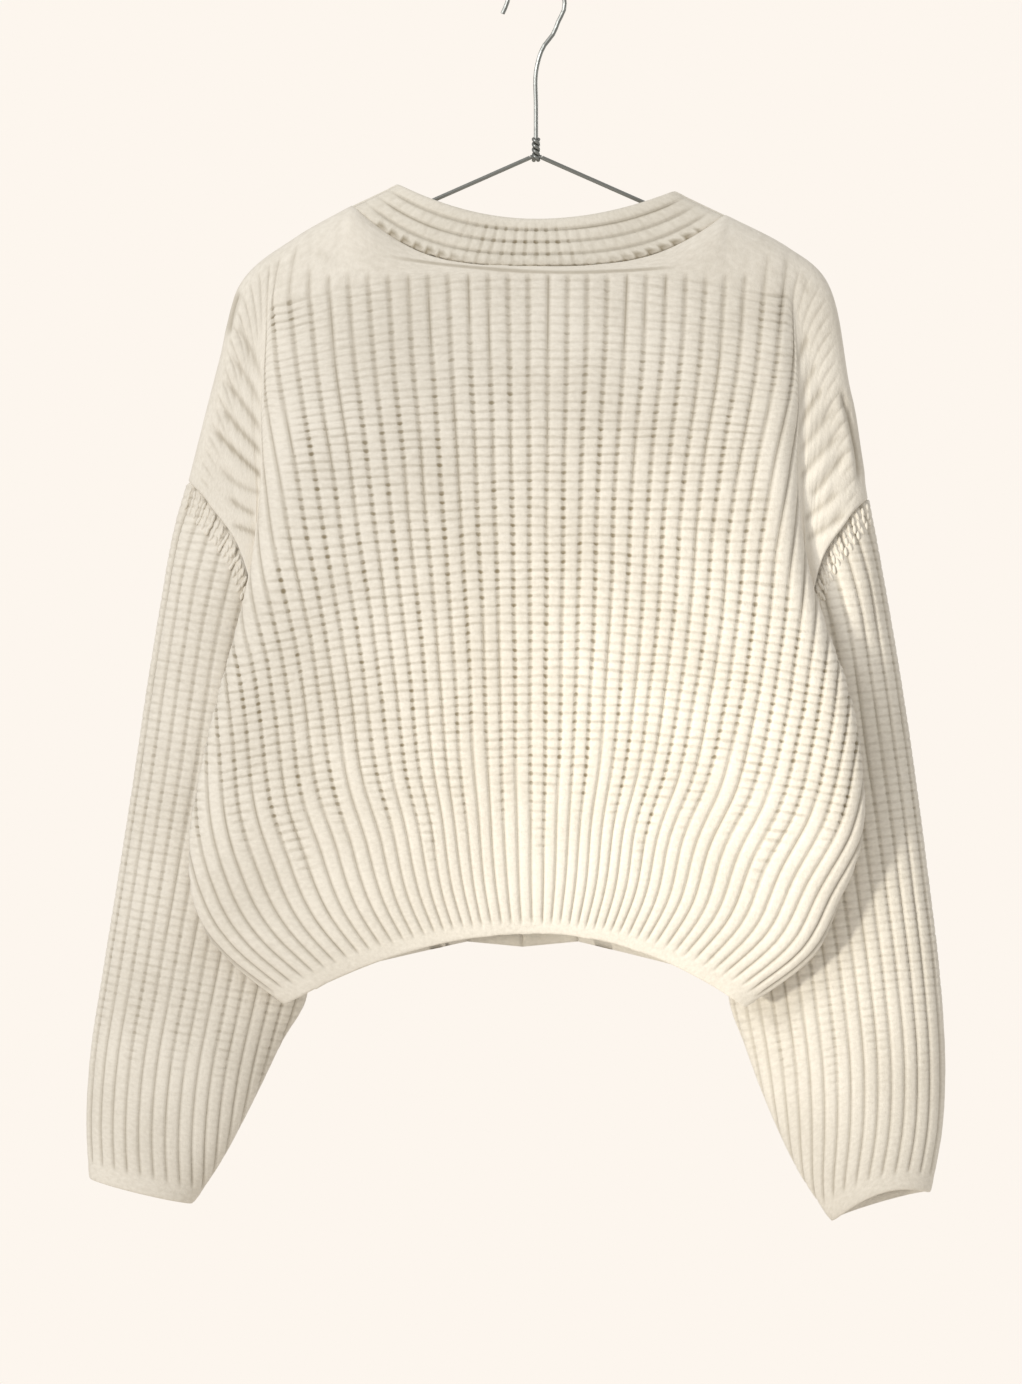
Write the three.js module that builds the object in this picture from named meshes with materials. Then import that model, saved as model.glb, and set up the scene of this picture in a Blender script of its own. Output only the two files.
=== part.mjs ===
// Cropped rib-knit cardigan hanging open on a wire hanger.
// Millimetres, +Z up. The origin is where the rail touches the inside top of the hanger's hook.
// The back of the garment faces -Y and the two fronts face +Y; -X is the left of the back view.
import * as THREE from 'three';

// ---- Driving sizes ----
const WALL = 4;              // thickness of the rib knit
const SEAM_GAP = 0.3;        // space between two pieces at a seam
const NECK_SEAM_GAP = 0.9;   // the same where the neckband turns round the neck
const HOOK_TO_NECK = 134;    // from the inside top of the hook down to the hanger's neck
const COURSES = 80;          // rows of knitting from the top edge to the hem
const BACK_WALES = 25;       // ribs from the centre of the back to one side edge
const NECK_WALES = 9.6;      // ribs from the centre of the back to where the shoulder starts
const YOKE_COURSE = 5;       // row at which the panels leave the shoulder line
const ARMHOLE_COURSE = 38;   // row at which the armhole ends and the side seam starts
const ARMHOLE_HALF = 25;     // half the width of the armhole, front to back
const BODY_DROP = 90;        // from the hanger's neck down to the yoke row at the centre back
const COURSE_PITCH = 6.55;   // height of one row at the centre back
const FACE_POWER = 2.5;      // squareness of the back's rounded face, 2 being an ellipse
const PITCH_EASE = 0.12;     // how much closer the ribs are at the centre than at the sides
const SHOULDER_ROUND = 1;    // how far the cloth runs level as it crosses the shoulder line
const NECK_DEPTH = 24;       // how far the back neck lies behind the shoulder line
const NECK_TOP_DEPTH = 15;   // the same at the free edge of the neckband
const CENTRE_SHIFT = -10;    // how far the front opening wanders sideways by the hem
const SLEEVE_START = 1.3;    // how far out of the armhole the sleeve's wall starts
const SLEEVE_TUCK = { underarm: 11, top: 3 };  // how far the sleeve's end lies inside the armhole
const KNIT_COLOUR = '#e2d8c5';
const BAND_COLOUR = '#ddd2be';
const STEEL_COLOUR = '#8f918f';

// Gives each row of a table its columns' names.
const table = (columns, rows) => rows.map((row) => (
  Object.fromEntries(columns.map((name, i) => [name, row[i]]))));

// Heights are given as drops below the hanger's neck, and widths as distances out from the middle.
const SIDES = {
  left: {
    sign: -1,
    neck: { topOut: 102, topDrop: 23, baseOut: 138, baseDrop: 40 },
    cuffLift: 0,
  },
  right: {
    sign: 1,
    neck: { topOut: 102, topDrop: 28, baseOut: 142, baseDrop: 47 },
    cuffLift: 12,
  },
};

// The shoulder line, from the neckband out over the hanger's tip to the top of the armhole.
SIDES.left.shoulder = [
  { out: 138, drop: 40 },
  { out: 180, drop: 64 },
  { out: 219, drop: 96 },
  { out: 236, drop: 156 },
  { out: 259, drop: 246 },
];
SIDES.right.shoulder = [
  { out: 142, drop: 47 },
  { out: 188, drop: 71 },
  { out: 216, drop: 95 },
  { out: 233, drop: 172 },
  { out: 247, drop: 259 },
];

// Rows of the body. The fold is the outermost point of the back, the edge is the armhole and
// then the side seam, and the front's side lies inside the sleeve.
const BODY_COLUMNS = [
  'course', 'foldOut', 'foldY', 'foldDrop',
  'edgeOut', 'edgeY', 'edgeDrop', 'frontOut', 'frontY',
];
SIDES.left.body = table(BODY_COLUMNS, [
  [5, 196, -16, 116, 245, 0, 261, 196, 14],
  [14, 201, -21, 178, 222, 0, 294, 200, 20],
  [24, 202, -28, 248, 208, 0, 346, 198, 27],
  [32, 210, -34, 312, 202, -1, 405, 193, 27],
  [38, 222, -37, 362, 192, -4, 455, 184, 22],
  [43, 232, -38, 398, 178, -11, 482, 174, 15],
  [50, 243, -39, 443, 167, -16, 514, 166, 10],
  [60, 255, -39, 511, 161, -18, 555, 163, 8],
  [68, 251, -38, 562, 155, -18, 582, 160, 8],
  [74, 231, -36, 596, 151, -18, 599, 157, 8],
  [80, 185, -33, 634, 147, -17, 614, 153, 8],
]);
SIDES.right.body = table(BODY_COLUMNS, [
  [5, 188, -16, 110, 234, 0, 272, 188, 14],
  [14, 193, -21, 174, 213, 0, 304, 192, 20],
  [24, 192, -28, 242, 202, 0, 356, 190, 27],
  [32, 199, -34, 306, 197, -1, 410, 188, 27],
  [38, 215, -37, 360, 189, -4, 457, 182, 22],
  [43, 228, -38, 396, 174, -11, 483, 170, 15],
  [50, 238, -39, 442, 161, -16, 513, 160, 10],
  [60, 240, -39, 508, 149, -18, 555, 150, 8],
  [68, 223, -38, 558, 137, -18, 584, 138, 8],
  [74, 203, -36, 598, 130, -18, 601, 132, 8],
  [80, 154, -33, 636, 123, -17, 614, 126, 8],
]);

// How far the middle of the back bulges behind the hanger.
const BACK_BULGE = [
  { course: 5, y: -26 },
  { course: 14, y: -37 },
  { course: 26, y: -49 },
  { course: 38, y: -58 },
  { course: 50, y: -63 },
  { course: 62, y: -63 },
  { course: 72, y: -57 },
  { course: 80, y: -49 },
];

// The two long edges of one front band: the free edge and the edge sewn to the front panel.
const BAND_COLUMNS = ['course', 'freeOut', 'freeDrop', 'sewnOut', 'sewnDrop', 'y'];
const FRONT_BAND = table(BAND_COLUMNS, [
  [5, 90, 52, 127, 71, 17],
  [10, 75, 86, 113, 104, 25],
  [17, 51, 137, 90, 153, 32],
  [24, 26, 188, 65, 202, 37],
  [30, 7, 234, 47, 244, 40],
  [35, 1.6, 277, 42, 280, 42],
  [58, 1.6, 440, 42, 438, 45],
  [80, 1.6, 596, 42, 592, 40],
]);

// Rings of the sleeves below the armhole, from the outer line to the inner line of each tube.
const SLEEVE_COLUMNS = ['outerOut', 'outerDrop', 'innerOut', 'innerDrop', 'y', 'half'];
SIDES.left.sleeve = table(SLEEVE_COLUMNS, [
  [270, 281, 193, 482, 8, 27],
  [281, 340, 188, 517, 14, 30],
  [291, 400, 182, 555, 17, 31],
  [301, 468, 174, 598, 17, 31],
  [313, 544, 175, 634, 18, 30],
  [324, 612, 192, 664, 18, 28],
  [333, 672, 216, 713, 17, 27],
  [336, 722, 239, 756, 15, 25],
  [334, 769, 260, 787, 13, 22],
]);
SIDES.right.sleeve = table(SLEEVE_COLUMNS, [
  [255, 294, 190, 483, 8, 27],
  [264, 342, 184, 516, 14, 30],
  [274, 400, 174, 552, 17, 31],
  [284, 468, 158, 592, 17, 31],
  [294, 544, 147, 630, 18, 30],
  [302, 612, 159, 668, 18, 28],
  [306, 676, 178, 718, 17, 27],
  [304, 728, 200, 764, 15, 25],
  [295, 779, 224, 800, 13, 22],
]);

// The hanger, bent from one round wire.
const WIRE_RADIUS = 1.6;
const WIRE_SIDES = 8;
const HOOK_RADIUS = 20;      // inside radius of the hook
const ARM_TIP = { out: 203, drop: 89.6 };
const BAR_DROP = 103;
const TIP_BEND = 4.5;          // how far the wire swings out past the tip as it turns back
const TWIST = { radius: 3.4, above: 12, below: 4 };

// ---- Small helpers ----
const mix = (a, b, t) => a + (b - a) * t;
const clamp = (value, low, high) => Math.min(high, Math.max(low, value));
const smooth = (t) => t * t * (3 - 2 * t);
const place = (x, y, drop) => new THREE.Vector3(x, y, -HOOK_TO_NECK - drop);

// Reads every column of a table at one course, along a smooth curve through its rows.
function readTable(rows, course) {
  let i = 0;
  while (i < rows.length - 2 && course > rows[i + 1].course) i += 1;
  const [before, low, high, after] = [-1, 0, 1, 2].map((step) => rows[clamp(i + step, 0, rows.length - 1)]);
  const span = high.course - low.course;
  const t = clamp((course - low.course) / span, -0.2, 1.2);
  const values = {};
  for (const key of Object.keys(low)) {
    const slopeLow = ((high[key] - before[key]) / (high.course - before.course)) * span;
    const slopeHigh = ((after[key] - low[key]) / (after.course - low.course)) * span;
    values[key] = hermite(low[key], slopeLow, high[key], slopeHigh, t);
  }
  return values;
}

function hermite(from, slopeFrom, to, slopeTo, t) {
  const t2 = t * t;
  const t3 = t2 * t;
  return (2 * t3 - 3 * t2 + 1) * from + (t3 - 2 * t2 + t) * slopeFrom
    + (3 * t2 - 2 * t3) * to + (t3 - t2) * slopeTo;
}

// A smooth run from a point on the shoulder line to the row where the panel's own rows begin.
function fromTopEdge(start, heading, rowPoint, course) {
  const end = rowPoint(YOKE_COURSE);
  const length = start.distanceTo(end);
  const leave = heading.clone().setLength(length * SHOULDER_ROUND);
  const arrive = rowPoint(YOKE_COURSE + 0.5).sub(end).setLength(length);
  const t = course / YOKE_COURSE;
  const at = (axis) => hermite(start[axis], leave[axis], end[axis], arrive[axis], t);
  return new THREE.Vector3(at('x'), at('y'), at('z'));
}

function curveThrough(points) {
  return new THREE.CatmullRomCurve3(points, false, 'centripetal');
}

// ---- The body's rows ----
function armholeHalf(course) {
  const along = clamp(course / ARMHOLE_COURSE, 0, 1) * 2 - 1;
  return ARMHOLE_HALF * Math.sqrt(1 - along * along);
}

function sideEdge(side, row, face) {
  return place(side.sign * row.edgeOut, row.edgeY + face * armholeHalf(row.course), row.edgeDrop);
}

// One half of a row of the back, from the centre out to the armhole or the side seam.
function backHalfRow(side, course) {
  const row = readTable(side.body, course);
  const bulge = readTable(BACK_BULGE, course).y;
  const middle = BODY_DROP + COURSE_PITCH * (course - YOKE_COURSE);
  const points = [];
  for (const share of [0, 0.3, 0.58, 0.82, 0.95, 1]) {
    const turn = 1 - (1 - share ** FACE_POWER) ** (1 / FACE_POWER);
    const y = mix(bulge, row.foldY, turn);
    points.push(place(side.sign * row.foldOut * share, y, mix(middle, row.foldDrop, share * share)));
  }
  points.push(sideEdge(side, row, -1));
  return curveThrough([mirrored(points[1]), ...points]);
}

const mirrored = (point) => new THREE.Vector3(-point.x, point.y, point.z);

const halfRows = new Map();

function backRowPoint(side, share, course) {
  const key = `${side.sign} ${course.toFixed(4)}`;
  if (!halfRows.has(key)) {
    const curve = backHalfRow(side, course);
    const lengths = curve.getLengths(120);
    const start = lengths[Math.round(120 / (curve.points.length - 1))];
    halfRows.set(key, { curve, offset: start / lengths[120] });
  }
  const { curve, offset } = halfRows.get(key);
  const eased = share - PITCH_EASE * share * (1 - share);
  return curve.getPointAt(offset + (1 - offset) * eased);
}

// Height of the neckband's two long edges across the back.
function neckEdge(side, angle, edge) {
  const { topOut, topDrop, baseOut, baseDrop } = side.neck;
  const across = Math.cos(angle);
  const back = -Math.sin(angle);
  if (edge === 'free') {
    return place(side.sign * topOut * across, NECK_TOP_DEPTH * back, mix(49.5, topDrop, across ** 2));
  }
  return place(side.sign * baseOut * across, NECK_DEPTH * back, mix(86, baseDrop, across ** 3));
}

function shoulderPoint(side, share) {
  const line = curveThrough(side.shoulder.map((p) => place(side.sign * p.out, 0, p.drop)));
  return line.getPointAt(share);
}

function backPoint(wale, course) {
  const side = wale < 0 ? SIDES.left : SIDES.right;
  const out = Math.abs(wale);
  const rowPoint = (c) => backRowPoint(side, out / BACK_WALES, c);
  if (course >= YOKE_COURSE) return rowPoint(course);
  if (out >= NECK_WALES) {
    const share = (out - NECK_WALES) / (BACK_WALES - NECK_WALES);
    const ridge = shoulderPoint(side, share).setY(-SEAM_GAP / 2);
    return fromTopEdge(ridge, new THREE.Vector3(0, -1, 0), rowPoint, course);
  }
  const angle = Math.acos(out / NECK_WALES);
  const start = neckEdge(side, angle, 'sewn');
  const nearShoulder = smooth(clamp(out / NECK_WALES * 2 - 1, 0, 1));
  const down = rowPoint(YOKE_COURSE).sub(start).normalize();
  return fromTopEdge(start, down.lerp(new THREE.Vector3(0, -1, 0), nearShoulder), rowPoint, course);
}

// ---- The fronts ----
function bandEdge(side, edge, course) {
  const rowPoint = (c) => {
    const row = readTable(FRONT_BAND, c);
    const shift = CENTRE_SHIFT * clamp((c - 30) / (COURSES - 30), 0, 1);
    const out = edge === 'free' ? row.freeOut : row.sewnOut;
    const drop = edge === 'free' ? row.freeDrop : row.sewnDrop;
    return place(side.sign * out + shift, row.y, drop);
  };
  if (course >= YOKE_COURSE) return rowPoint(course);
  const { topOut, topDrop, baseOut, baseDrop } = side.neck;
  const start = edge === 'free' ? place(side.sign * topOut, SEAM_GAP / 2, topDrop)
    : place(side.sign * baseOut, SEAM_GAP / 2, baseDrop);
  return fromTopEdge(start, new THREE.Vector3(0, 1, 0), rowPoint, course);
}

// A point of a front: share 0 is the armhole or side seam and share 1 is the band's seam.
function frontPoint(side, share, course) {
  const rowPoint = (c) => {
    const row = readTable(side.body, c);
    const edge = sideEdge(side, row, 1);
    const band = bandEdge(side, 'sewn', c);
    const turnDrop = mix(row.foldDrop, row.edgeDrop, mix(0.35, 1, c / COURSES));
    const turn = place(side.sign * row.frontOut, row.frontY, turnDrop);
    const points = [edge, turn];
    for (const inward of [0.35, 0.7]) {
      const lift = 1 - (1 - inward) ** FACE_POWER;
      points.push(turn.clone().lerp(band, inward).setY(mix(turn.y, band.y, lift)));
    }
    points.push(band);
    return curveThrough(points).getPointAt(share);
  };
  if (course >= YOKE_COURSE) return rowPoint(course);
  const ridge = shoulderPoint(side, 1 - share).setY(SEAM_GAP / 2);
  return fromTopEdge(ridge, new THREE.Vector3(0, 1, 0), rowPoint, course);
}

// ---- The sleeves ----
// turn 0 is the underarm, 0.25 the back, 0.5 the outer line and 0.75 the front.
function armholePoint(side, turn) {
  const course = ARMHOLE_COURSE * (1 + Math.cos(turn * 2 * Math.PI)) / 2;
  const onBack = turn <= 0.5;
  const point = onBack ? backPoint(side.sign * BACK_WALES, course) : frontPoint(side, 0, course);
  const outward = new THREE.Vector3(side.sign * 0.93, 0, -0.37);
  point.addScaledVector(outward, SLEEVE_START);
  const tuck = mix(SLEEVE_TUCK.underarm, SLEEVE_TUCK.top, 1 - Math.abs(1 - 2 * turn));
  point.y += (onBack ? 1 : -1) * tuck * Math.sqrt(Math.abs(Math.sin(turn * 2 * Math.PI)));
  return point;
}

function sleeveRing(side, ring, turn) {
  const outer = place(side.sign * ring.outerOut, ring.y, ring.outerDrop);
  const inner = place(side.sign * ring.innerOut, ring.y, ring.innerDrop);
  const point = inner.lerp(outer, (1 - Math.cos(turn * 2 * Math.PI)) / 2);
  point.y -= ring.half * Math.sin(turn * 2 * Math.PI);
  return point;
}

function sleevePoint(side, turn, along) {
  const rings = side.sleeve.map((ring) => sleeveRing(side, ring, turn));
  const stations = [armholePoint(side, turn), ...rings];
  const last = stations[stations.length - 1];
  if (turn < 0.5) last.z += side.cuffLift * Math.sin(turn * 2 * Math.PI) ** 2;
  return curveThrough(stations).getPoint(along);
}

// ---- Walls ----
// Turns a grid of points on the middle of a cloth into a closed wall. Rows run down the cloth,
// and seen from outside the columns run to the right. Points beyond the cloth's own edges, such
// as the neighbour's, only set the slope there, so that two pieces meet at a shared mitre.
function clothWall(grid, { wraps = false, beyond = {} } = {}) {
  const rows = grid.length;
  const columns = grid[0].length;
  const column = (j) => (wraps ? (j + columns) % columns : clamp(j, 0, columns - 1));
  const near = (i, j) => {
    if (i < 0) return (beyond.top || grid[0])[column(j)];
    if (i >= rows) return (beyond.bottom || grid[rows - 1])[column(j)];
    if (!wraps && j < 0 && beyond.left && beyond.left[i]) return beyond.left[i];
    if (!wraps && j >= columns && beyond.right && beyond.right[i]) return beyond.right[i];
    return grid[i][column(j)];
  };
  const positions = [];
  for (let i = 0; i < rows; i += 1) {
    for (let j = 0; j < columns; j += 1) {
      const down = near(i + 1, j).clone().sub(near(i - 1, j));
      const right = near(i, j + 1).clone().sub(near(i, j - 1));
      const normal = down.cross(right).setLength(WALL / 2);
      positions.push(...grid[i][j].clone().add(normal).toArray());
      positions.push(...grid[i][j].clone().sub(normal).toArray());
    }
  }
  const outer = (i, j) => 2 * (i * columns + column(j));
  const inner = (i, j) => outer(i, j) + 1;
  const index = [];
  const quad = (a, b, c, d) => index.push(a, b, c, a, c, d);
  const spans = wraps ? columns : columns - 1;
  for (let i = 0; i < rows - 1; i += 1) {
    for (let j = 0; j < spans; j += 1) {
      quad(outer(i, j), outer(i + 1, j), outer(i + 1, j + 1), outer(i, j + 1));
      quad(inner(i, j), inner(i, j + 1), inner(i + 1, j + 1), inner(i + 1, j));
    }
  }
  const end = rows - 1;
  for (let j = 0; j < spans; j += 1) {
    quad(inner(0, j), outer(0, j), outer(0, j + 1), inner(0, j + 1));
    quad(outer(end, j), inner(end, j), inner(end, j + 1), outer(end, j + 1));
  }
  const side = columns - 1;
  for (let i = 0; !wraps && i < end; i += 1) {
    quad(inner(i, 0), inner(i + 1, 0), outer(i + 1, 0), outer(i, 0));
    quad(outer(i, side), outer(i + 1, side), inner(i + 1, side), inner(i, side));
  }
  const geometry = new THREE.BufferGeometry();
  geometry.setAttribute('position', new THREE.Float32BufferAttribute(positions, 3));
  geometry.setIndex(index);
  return geometry;
}

const BODY_COURSES = [
  0, 1, 2.2, 3.5, 5, 8, 12, 17, 22, 27, 32, 36, 40, 45, 50, 55, 60, 65, 69, 73, 77, COURSES,
];
const HALF_NECK_WALES = [0, 2.4, 4.8, 6.9, 8.4, 9.2, NECK_WALES];
const SHOULDER_WALES = [11.6, 13.8, 15.8, 17.6, 19.2, 20.6, 22.2, 23.6, BACK_WALES - 0.03];
const FRONT_SHARES = [0.003, 0.08, 0.18, 0.28, 0.4, 0.52, 0.64, 0.76, 0.88, 1];
const bothSides = (values) => [...values.slice(1).reverse().map((value) => -value), ...values];
const steps = (count, from, to) => Array.from({ length: count + 1 }, (_, i) => mix(from, to, i / count));
const acrossRidge = (point) => point.clone().setY(-point.y);
const inTurn = (side, list) => (side.sign < 0 ? list : [...list].reverse());

function neckbandPoint(wale, edge) {
  const side = wale < 0 ? SIDES.left : SIDES.right;
  const point = neckEdge(side, Math.acos(Math.abs(wale) / NECK_WALES), edge);
  return point.setY(Math.min(point.y, -SEAM_GAP / 2));
}

function backWall() {
  const wales = bothSides([...HALF_NECK_WALES, ...SHOULDER_WALES]);
  const grid = BODY_COURSES.map((course) => wales.map((wale) => backPoint(wale, course)));
  const top = wales.map((wale, j) => (Math.abs(wale) < NECK_WALES ? neckbandPoint(wale, 'free')
    : acrossRidge(grid[1][j])));
  const sideSeam = (side) => BODY_COURSES.map((course) => (course > ARMHOLE_COURSE
    && frontPoint(side, FRONT_SHARES[1], course)));
  return clothWall(grid, { beyond: { top, left: sideSeam(SIDES.left), right: sideSeam(SIDES.right) } });
}

function neckbandWall() {
  const wales = bothSides(HALF_NECK_WALES);
  const rows = ['free', 'sewn'].map((edge) => wales.map((wale) => neckbandPoint(wale, edge)));
  const below = wales.map((wale) => backPoint(wale, BODY_COURSES[1]));
  const [free, sewn] = rows;
  const gapShare = (j) => NECK_SEAM_GAP / free[j].distanceTo(sewn[j]);
  const cut = sewn.map((point, j) => point.clone().lerp(free[j], gapShare(j)));
  const last = wales.length - 1;
  const ends = (j) => [free, sewn].map((row) => acrossRidge(row[j]));
  return clothWall([free, cut], { beyond: { left: ends(1), right: ends(last - 1), bottom: below } });
}

// The fronts are seen from the +Y side, so their columns run from +X to -X.
function frontWall(side) {
  const shares = inTurn(side, [...FRONT_SHARES].reverse());
  const grid = BODY_COURSES.map((course) => shares.map((share) => frontPoint(side, share, course)));
  const seam = BODY_COURSES.map((course) => (course > ARMHOLE_COURSE
    && backPoint(side.sign * SHOULDER_WALES[SHOULDER_WALES.length - 2], course)));
  const band = BODY_COURSES.map((course) => bandEdge(side, 'free', course));
  const [left, right] = inTurn(side, [band, seam]);
  return clothWall(grid, { beyond: { top: grid[1].map(acrossRidge), left, right } });
}

function bandWall(side) {
  const inward = FRONT_SHARES[FRONT_SHARES.length - 2];
  const pairs = BODY_COURSES.map((course) => {
    const free = bandEdge(side, 'free', course);
    const sewn = bandEdge(side, 'sewn', course);
    return inTurn(side, [free, sewn.lerp(free, SEAM_GAP / free.distanceTo(sewn))]);
  });
  const panel = BODY_COURSES.map((course) => frontPoint(side, inward, course));
  const beyond = side.sign < 0 ? { right: panel } : { left: panel };
  return clothWall(pairs, { beyond: { ...beyond, top: pairs[1].map(acrossRidge) } });
}

function sleeveWall(side) {
  const turns = steps(24, 0, 1).slice(0, 24);
  const ordered = side.sign < 0 ? turns.map((turn) => (1 - turn) % 1) : turns;
  const grid = steps(18, 0, 1).map((along) => ordered.map((turn) => sleevePoint(side, turn, along)));
  return clothWall(grid, { wraps: true });
}

// ---- The hanger ----
function wireGeometry(points, stepsAlong, radius = WIRE_RADIUS) {
  const section = new THREE.Shape();
  for (let i = 0; i < WIRE_SIDES; i += 1) {
    const angle = (i / WIRE_SIDES) * 2 * Math.PI;
    const [x, y] = [radius * Math.cos(angle), radius * Math.sin(angle)];
    if (i === 0) section.moveTo(x, y);
    else section.lineTo(x, y);
  }
  const path = points.length === 2 ? new THREE.LineCurve3(...points) : curveThrough(points);
  return new THREE.ExtrudeGeometry(section, { steps: stepsAlong, extrudePath: path });
}

function hookPath() {
  const radius = HOOK_RADIUS + WIRE_RADIUS;
  const points = [0, 26, 50].map((up) => place(0, 0, -TWIST.above - up));
  points.push(new THREE.Vector3(5, 0, -HOOK_RADIUS - 34), new THREE.Vector3(13, 0, -HOOK_RADIUS - 23));
  for (const degrees of [-38, -12, 15, 42, 70, 98, 126, 154, 180]) {
    const angle = THREE.MathUtils.degToRad(degrees);
    points.push(new THREE.Vector3(radius * Math.cos(angle), 0, radius * Math.sin(angle) - HOOK_RADIUS));
  }
  points.push(new THREE.Vector3(-radius - 3.5, 0, -HOOK_RADIUS - 8));
  return points;
}

function armPath(side) {
  const sign = side.sign;
  const { out, drop } = ARM_TIP;
  const start = TWIST.radius + SEAM_GAP + 0.7;
  const points = [];
  for (const share of [0, 0.33, 0.66, 1]) {
    const x = mix(start, out, share);
    points.push(place(sign * x, 0, (drop * x) / out));
  }
  points.push(place(sign * (out + TIP_BEND), 0, mix(drop, BAR_DROP, 0.45)));
  points.push(place(sign * out, 0, BAR_DROP));
  return points;
}

function twistGeometry() {
  const height = TWIST.above + TWIST.below;
  const geometry = new THREE.CylinderGeometry(TWIST.radius, TWIST.radius, height - SEAM_GAP, 12);
  geometry.rotateX(Math.PI / 2);
  const middle = place(0, 0, (TWIST.below - TWIST.above) / 2 + SEAM_GAP / 2);
  return geometry.translate(middle.x, middle.y, middle.z);
}

function barGeometry() {
  const end = ARM_TIP.out - 2;
  return wireGeometry([place(-end, 0, BAR_DROP), place(end, 0, BAR_DROP)], 1);
}

// ---- Assembly ----
const finish = (color, roughness, metalness) => (
  new THREE.MeshStandardMaterial({ color, roughness, metalness }));
const knit = (colour = KNIT_COLOUR) => finish(colour, 0.95, 0);
const steel = () => finish(STEEL_COLOUR, 0.35, 1);

const cardigan = new THREE.Group();

function addPart(name, geometry, material) {
  const mesh = new THREE.Mesh(geometry, material);
  mesh.name = name;
  cardigan.add(mesh);
}

addPart('back', backWall(), knit());
addPart('neckband', neckbandWall(), knit(BAND_COLOUR));
for (const [name, side] of Object.entries(SIDES)) {
  addPart(`front_${name}`, frontWall(side), knit());
  addPart(`band_${name}`, bandWall(side), knit(BAND_COLOUR));
  addPart(`sleeve_${name}`, sleeveWall(side), knit());
  addPart(`hanger_arm_${name}`, wireGeometry(armPath(side), 20), steel());
}
addPart('hanger_hook', wireGeometry(hookPath(), 36), steel());
addPart('hanger_twist', twistGeometry(), steel());
addPart('hanger_bar', barGeometry(), steel());

export default cardigan;
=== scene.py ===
"""Looks of a cropped rib knit cardigan that hangs on a wire hanger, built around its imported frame."""
import math

import bmesh
import bpy
import numpy as np
from bpy.props import FloatProperty, FloatVectorProperty, IntProperty, PointerProperty
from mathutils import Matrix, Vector


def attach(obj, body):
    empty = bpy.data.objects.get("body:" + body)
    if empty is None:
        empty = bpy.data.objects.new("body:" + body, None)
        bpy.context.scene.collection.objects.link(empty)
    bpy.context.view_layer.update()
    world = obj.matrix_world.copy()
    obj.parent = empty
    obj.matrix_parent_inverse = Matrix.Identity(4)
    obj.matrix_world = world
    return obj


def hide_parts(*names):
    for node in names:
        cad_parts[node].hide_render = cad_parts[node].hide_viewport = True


bl_info = {
    "name": "Rib Knit Cardigan",
    "version": (1, 0, 0),
    "blender": (4, 5, 0),
    "location": "3D View > Sidebar > Cardigan",
    "description": "Knits the panels, sleeves and bands of a cardigan and hangs them on its wire hanger",
    "category": "Add Mesh",
}

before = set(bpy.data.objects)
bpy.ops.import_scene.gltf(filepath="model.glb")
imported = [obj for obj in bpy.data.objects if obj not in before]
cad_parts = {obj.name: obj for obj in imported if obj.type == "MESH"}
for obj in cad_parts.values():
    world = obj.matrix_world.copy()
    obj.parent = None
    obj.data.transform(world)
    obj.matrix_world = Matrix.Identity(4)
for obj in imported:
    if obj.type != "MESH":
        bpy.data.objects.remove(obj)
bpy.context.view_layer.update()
BODY = "root"
MM = 0.001

# ---- Drafting sizes, in millimetres and in ribs and rows of knitting ----
HOOK_TO_NECK = 134.0      # from the inside top of the hook down to the hanger's neck
COURSES = 80.0            # rows of knitting from the top edge to the hem
BACK_WALES = 31.0         # ribs from the centre of the back to one side edge
NECK_WALES = 9.6          # ribs from the centre of the back to where the shoulder starts
FRONT_WALES = 15.0        # ribs across one front
BAND_WALES = 4.0          # ribs across the neckband and the front bands
NECK_COURSES = 15.0       # rows of the neckband from the centre back to one end
YOKE_COURSE = 5.0         # row at which the panels leave the shoulder line
ARMHOLE_COURSE = 38.0     # row at which the armhole ends and the side seam starts
ARMHOLE_HALF = 25.0       # half the width of the armhole, front to back
BODY_DROP = 90.0          # from the hanger's neck down to the yoke row at the centre back
COURSE_PITCH = 6.55       # height of one row at the centre back
FACE_SHARES = (-0.3, 0, 0.3, 0.58, 0.82, 0.95, 1)  # where a row is held, 0 middle and 1 side fold
FACE_POWER = 2.5          # squareness of the back's rounded face, 2 being an ellipse
RIB_OFFSET = 0.4          # how far left of the middle the back's middle groove lies, in ribs
ROW_LIFT = 5.0            # how many rows higher the back is gathered at its sides than at its middle
NECK_DEPTH = 24.0         # how far the back neck lies behind the shoulder line
NECK_TOP_DEPTH = 15.0     # the same at the free edge of the neckband
NECK_TOP_DROP = 49.5      # how far the neckband's free edge sags at the centre back
NECK_BASE_DROP = 86.0     # the same at its sewn edge
SEAM_HALF = 0.15          # half of the gap between two pieces at a seam
WIRE_RADIUS = 1.6         # of the hanger's steel
NECK_TOP = 12.0           # how far the hanger's twisted neck reaches up
NECK_FOOT = -4.0          # and down
WINDING = 1.05            # radius of the twist's winding, in radii of the wire
NECK_TURNS = 2.0          # turns of the wires round each other
LEAD_END = 4.3            # how far out the neck's wires lead towards the arms
LEAD_RISE = 2.4           # above the neck's foot
CENTRE_SHIFT = -10.0      # how far the front opening wanders sideways by the hem
SLEEVE_WAY = (0.93, 0, -0.37)  # which way a sleeve leaves its armhole: out, forward, up
SLEEVE_START = 1.3        # how far out of the armhole the sleeve starts
SLEEVE_TUCK = (11.0, 3.0)  # how far the sleeve's end lies inside the armhole, underarm and top
SLEEVE_UNDERLAP = 6.0     # how far the sleeve's end runs on under the panel's edge


def table(columns, rows):
    """Names the columns of a table of sizes."""
    return dict(zip(columns, np.array(rows, float).T))


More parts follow.
